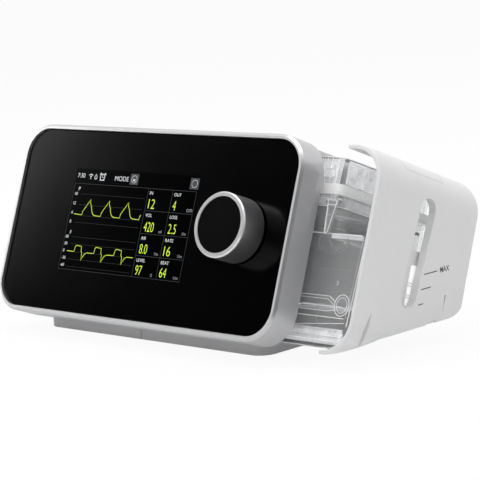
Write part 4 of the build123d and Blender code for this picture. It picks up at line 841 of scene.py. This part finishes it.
# %% The sheets of the veil
LID_SIDE = ((33.6, 45.8), (-24.0, -84.0))
SHEETS = [
    ((50.0, 129.6), (-45.6, -38.8), (-20.6, -20.7)),
    ((50.0, 130.0), (-42.4, -40.4), (-21.0, -21.1)),
    ((106.9, 110.6), (22.0, 46.0), (-20.4, -20.5)),
    ((50.0, 106.0), (36.4, 40.2), (-20.8, -20.9)),
    ((50.0, 104.0), (41.0, 43.2), (-20.8, -20.9)),
    ((50.0, 108.0), (22.6, 27.0), (-20.8, -20.9)),
    ((111.5, 111.6), *LID_SIDE),
    ((111.3, 111.4), *LID_SIDE),
    ((111.1, 111.2), *LID_SIDE),
    ((50.0, 108.0), (33.6, 45.8), (-21.2, -21.3)),
    ((110.9, 111.0), (34.6, 43.6), (-24.0, -37.5)),
    ((111.5, 111.6), (21.8, 27.0), (-24.0, -84.0)),
]
BLOT_SCALE = 200.0
BLOT_DETAIL = 3.0
VEIL_THINNEST = 0.04
VEIL_SPREAD = 0.6
veil = bmesh.new()
for ranges in SHEETS:
    block(veil, *ranges)
# The sheets glow faintly: a painted light for the light that the veil gathers inside the tank.
VEIL_GLEAM = {"Emission_Strength": 0.22, **GLEAM}
VEIL = finish("mould_veil", (0.95, 0.95, 0.96), 0.4, 1.0, 0.002, **VEIL_GLEAM)
blot = place_on(VEIL).noise(BLOT_SCALE, BLOT_DETAIL)
(blot * VEIL_SPREAD + VEIL_THINNEST).feed(shader_of(VEIL).inputs["Alpha"])
piece("tank_veil", veil, FRONT, VEIL, "drawer")

# %% [markdown]
# ## Lines of the latch and the dim lines
#
# The latch is a clear tongue that narrows to a point, and its outline is one bent bead. It swings
# with the latch, so it is a piece of its own on that body. Lines that lie deeper in the tank,
# such as the round air fitting, catch less light. They get a darker grey, a painted shade for the
# light that they miss.

# %% The latch and the dim lines
HOOK_OUT = -17.1
TONGUE = [(108.3, 24.6), (109.2, 8.4), (110.2, 7.0), (111.2, 8.4), (114.1, 24.6)]
FITTING = (114.2, 4.1)
hook = bmesh.new()
bead(hook, [(u, v, HOOK_OUT) for u, v in TONGUE])
bead(hook, [(108.3, 22.0, HOOK_OUT), (114.0, 22.0, HOOK_OUT)], 0.4)
piece("latch_mould_lines", hook, FRONT, EDGE_HIGHLIGHT, "lid_latch")
soft = bmesh.new()
ring(soft, FITTING, 9.4, 6.5, 0.3)
ring(soft, FITTING, 7.6, 5.2, 0.2)
face_lines(
    soft,
    (0.25, [(112.0, -9.0), (111.5, -21.6), (112.8, -37.8)]),
    (0.25, [(LINE_START, -9.6), (131.0, -9.6)]),
)
# A dark grey: painted shade on the deeper lines of the tank, and the print of the gauge's fine
# marks.
SHADED_EDGE_AND_PRINT = finish("shaded_edge_and_print", (0.42, 0.42, 0.43), 0.3, 1.0, 0.002)
piece("tank_dim_lines", soft, FRONT, SHADED_EDGE_AND_PRINT, "drawer")

# %% [markdown]
# ## The level gauge behind the slot
#
# The slot in the drawer's side shows a strip on the tank: a grey block, and under it a white
# strip on which the water line stands out, with two pairs of fine marks. It is a thin label in
# real life, so it is a stack of thin plates here, on a board that stands on the tank's wall.
# That board's first direction runs back. Were it turned to run forwards, the board would be a
# mirror, and the faces of all that it carries would point inwards. The strip gleams a little,
# because it is lit through the clear wall behind it.

# %% The gauge
GAUGE_RIGHT = 134.3
GAUGE_THICK = 0.3
GAUGE_WIDTH = (58.2, 66.5)
LEVELS = (-7.5, -8.9, -13.7, -15.0)
LEVEL_HALF = 0.16
INNER_SIDE = board(FRONT @ Vector((GAUGE_RIGHT, 0, 0)), -OUT, UP, RIGHT)


def plate(ink, back, tall, height=0.0):
    """A thin plate on the tank's side, between two distances back and two up."""
    block(ink, back, tall, (height - GAUGE_THICK / 2, height + GAUGE_THICK / 2))


strip = bmesh.new()
plate(strip, GAUGE_WIDTH, (1.6, -18.6))
STRIP_GLEAM = {"Emission_Strength": 0.4, **GLEAM}
GAUGE_WHITE = finish("gauge_white", (0.93, 0.93, 0.93), 0.35, 0.8, **STRIP_GLEAM)
piece("gauge_strip", strip, INNER_SIDE, GAUGE_WHITE, "drawer")
shade = bmesh.new()
plate(shade, (55.0, 66.5), (9.0, 1.8))
plate(shade, (50.0, 58.0), (1.6, -20.0))
GAUGE_GREY = finish("gauge_grey", (0.82, 0.82, 0.83), 0.4, 0.8)
piece("gauge_block", shade, INNER_SIDE, GAUGE_GREY, "drawer")
fine = bmesh.new()
for v in LEVELS:
    plate(fine, GAUGE_WIDTH, (v + LEVEL_HALF, v - LEVEL_HALF), GAUGE_THICK / 2)
piece("gauge_marks", fine, INNER_SIDE, SHADED_EDGE_AND_PRINT, "drawer")

# %% [markdown]
# ## The floor
#
# The photograph has a white ground that shows no edge. A lamp strong enough to burn a floor
# white would burn the machine too. So the floor is partly a pale paint that takes the shadow,
# and partly a white light that only the camera, mirrors and clear things can see. Mirrors see
# half of it, which keeps the undersides of the metal from going white.

# %% The floor
FLOOR_SIZE = 14.0
FLOOR_GLOW = 0.93
FLOOR_IN_MIRRORS = 0.5
FLOOR_GAP = 0.1 * MM
FLOOR_DARK = (0.86, 0.86, 0.86)
FLOOR_PALE = (0.88, 0.88, 0.88)
PATCH_SCALE = 3.0
PATCH_DETAIL = 2.0


def seen_directly(wire, mirrored=1.0):
    """1 for rays of the camera and through clear things, that share for mirrors, else 0."""
    kinds = ["Is Camera Ray", "Is Glossy Ray", "Is Transmission Ray"]
    camera_ray, mirror_ray, clear_ray = (wire.add("ShaderNodeLightPath", output=k) for k in kinds)
    direct = wire.math("MAXIMUM", camera_ray, clear_ray)
    return wire.math("MAXIMUM", direct, mirror_ray * mirrored)


ground = bpy.data.materials.new("floor")
ground.use_nodes = True
cloud = place_on(ground).noise(PATCH_SCALE, PATCH_DETAIL)
paint_colour = cloud.tint(FLOOR_DARK, FLOOR_PALE)
paint = cloud.add("ShaderNodeBsdfDiffuse", inputs={"Color": paint_colour})
white = cloud.add("ShaderNodeEmission", inputs={"Strength": 1.0})
share = seen_directly(cloud, FLOOR_IN_MIRRORS) * FLOOR_GLOW
show(ground, cloud.add("ShaderNodeMixShader", inputs={0: share, 1: paint, 2: white}))
plane = bmesh.new()
bmesh.ops.create_grid(plane, x_segments=1, y_segments=1, size=FLOOR_SIZE / 2)
bmesh.ops.translate(plane, vec=(0, 0, CAD_BOX[0][2] - FLOOR_GAP), verts=plane.verts)
floor_mesh = bpy.data.meshes.new("floor")
plane.to_mesh(floor_mesh)
plane.free()
floor_mesh.materials.append(ground)
floor = bpy.data.objects.new("floor", floor_mesh)
SCENE.collection.objects.link(floor)
print("floor", FLOOR_SIZE, "m wide")

# %% [markdown]
# ## The backdrop
#
# The world is white where the camera sees it and half as bright where it lights the machine, so
# shadows stay. A studio is dark behind the camera, and that is what keeps the front glass black
# and gives the metal its contrast. So for mirror rays the world darkens towards the front.

# %% The world
AMBIENT = 0.52
MIRROR_DARK = 0.02
TO_THE_BACK = (0.0, 1.0, 0.55)
DARK_UP_TO = -0.45
WHITE_FROM = 0.35
world = bpy.data.worlds.new("studio")
world.use_nodes = True
SCENE.world = world
direction = Wire(world.node_tree).add("ShaderNodeTexCoord", output="Generated")
behind = direction.dot(TO_THE_BACK).step(DARK_UP_TO, WHITE_FROM)
mirrored = direction.add("ShaderNodeLightPath", output="Is Glossy Ray")
mirror_level = behind * (1 - MIRROR_DARK) + MIRROR_DARK
direct = seen_directly(direction)
level = direct * (mirrored * (mirror_level - 1) + 1) + (1 - direct) * AMBIENT
background = world.node_tree.nodes["Background"]
level.feed(background.inputs["Strength"])
background.inputs["Color"].default_value = (1, 1, 1, 1)
print("ambient", AMBIENT, "darkest mirror", MIRROR_DARK)

# %% [markdown]
# ## Soft boxes
#
# Three large area lamps do the lighting. The largest hangs over the machine, a little behind it,
# and makes the top almost white. The second stands at the left and gives the knob its highlight.
# The third is weak and stands where the glass's upper left corner mirrors its rim, which puts a
# soft sheen there. Their light is soft because they are large, not because they are weak.


# %% The lamps
def soft_box(name, place, target, size, power):
    """A square area lamp that points at a target, with its size in metres and power in watts."""
    lamp = bpy.data.lights.new(name, "AREA")
    lamp.shape = "SQUARE"
    lamp.size = size
    lamp.energy = power
    stand = bpy.data.objects.new(name, lamp)
    SCENE.collection.objects.link(stand)
    aim = (Vector(target) - Vector(place)).to_track_quat("-Z", "Y")
    stand.matrix_world = Matrix.Translation(place) @ aim.to_matrix().to_4x4()
    print(name, power, "W")


AIM = (0, 0, 0.06)
soft_box("top_box", (0.1, 0.18, 1.3), (0, 0, 0.05), 1.2, 9.2)
soft_box("left_box", (-0.5, -0.55, 1.25), AIM, 0.6, 5.0)
soft_box("side_box", (-1.09, -0.47, 0.58), AIM, 0.52, 1.8)

# %% [markdown]
# ## The camera
#
# The camera was found by fitting the glass, the knob and the drawer in the photograph. It looks
# from the right at 44 degrees and from a little above, and it is rolled by three and a half
# degrees. A Track To constraint could aim it, but the roll would be lost. So its three axes are
# worked out and put into a matrix. Its place is given from the centre of the glass, so it
# follows the model.

# %% The camera
AZIMUTH = math.radians(43.686)
ELEVATION = math.radians(9.256)
ROLL = math.radians(-3.429)
FOCAL_PIXELS = 1983.8
PHOTO_PIXELS = 480
SENSOR = 36.0
CAMERA_FROM_GLASS = Vector((746.7, -708.8, 157.3)) * MM
back = Vector(
    (
        math.sin(AZIMUTH) * math.cos(ELEVATION),
        -math.cos(AZIMUTH) * math.cos(ELEVATION),
        math.sin(ELEVATION),
    )
)
level_right = Vector((math.cos(AZIMUTH), math.sin(AZIMUTH), 0))
level_up = back.cross(level_right)
camera_x = level_right * math.cos(ROLL) + level_up * math.sin(ROLL)
camera_y = level_up * math.cos(ROLL) - level_right * math.sin(ROLL)
lens = bpy.data.cameras.new("camera")
lens.sensor_width = SENSOR
lens.lens = SENSOR * FOCAL_PIXELS / PHOTO_PIXELS
lens.clip_end = 50.0
camera = bpy.data.objects.new("camera", lens)
SCENE.collection.objects.link(camera)
turn = Matrix((camera_x, camera_y, back)).transposed().to_4x4()
camera.matrix_world = Matrix.Translation(GLASS_CENTRE + CAMERA_FROM_GLASS) @ turn
SCENE.camera = camera
SCENE.view_settings.view_transform = "Standard"
print("lens", round(lens.lens, 2), "mm")
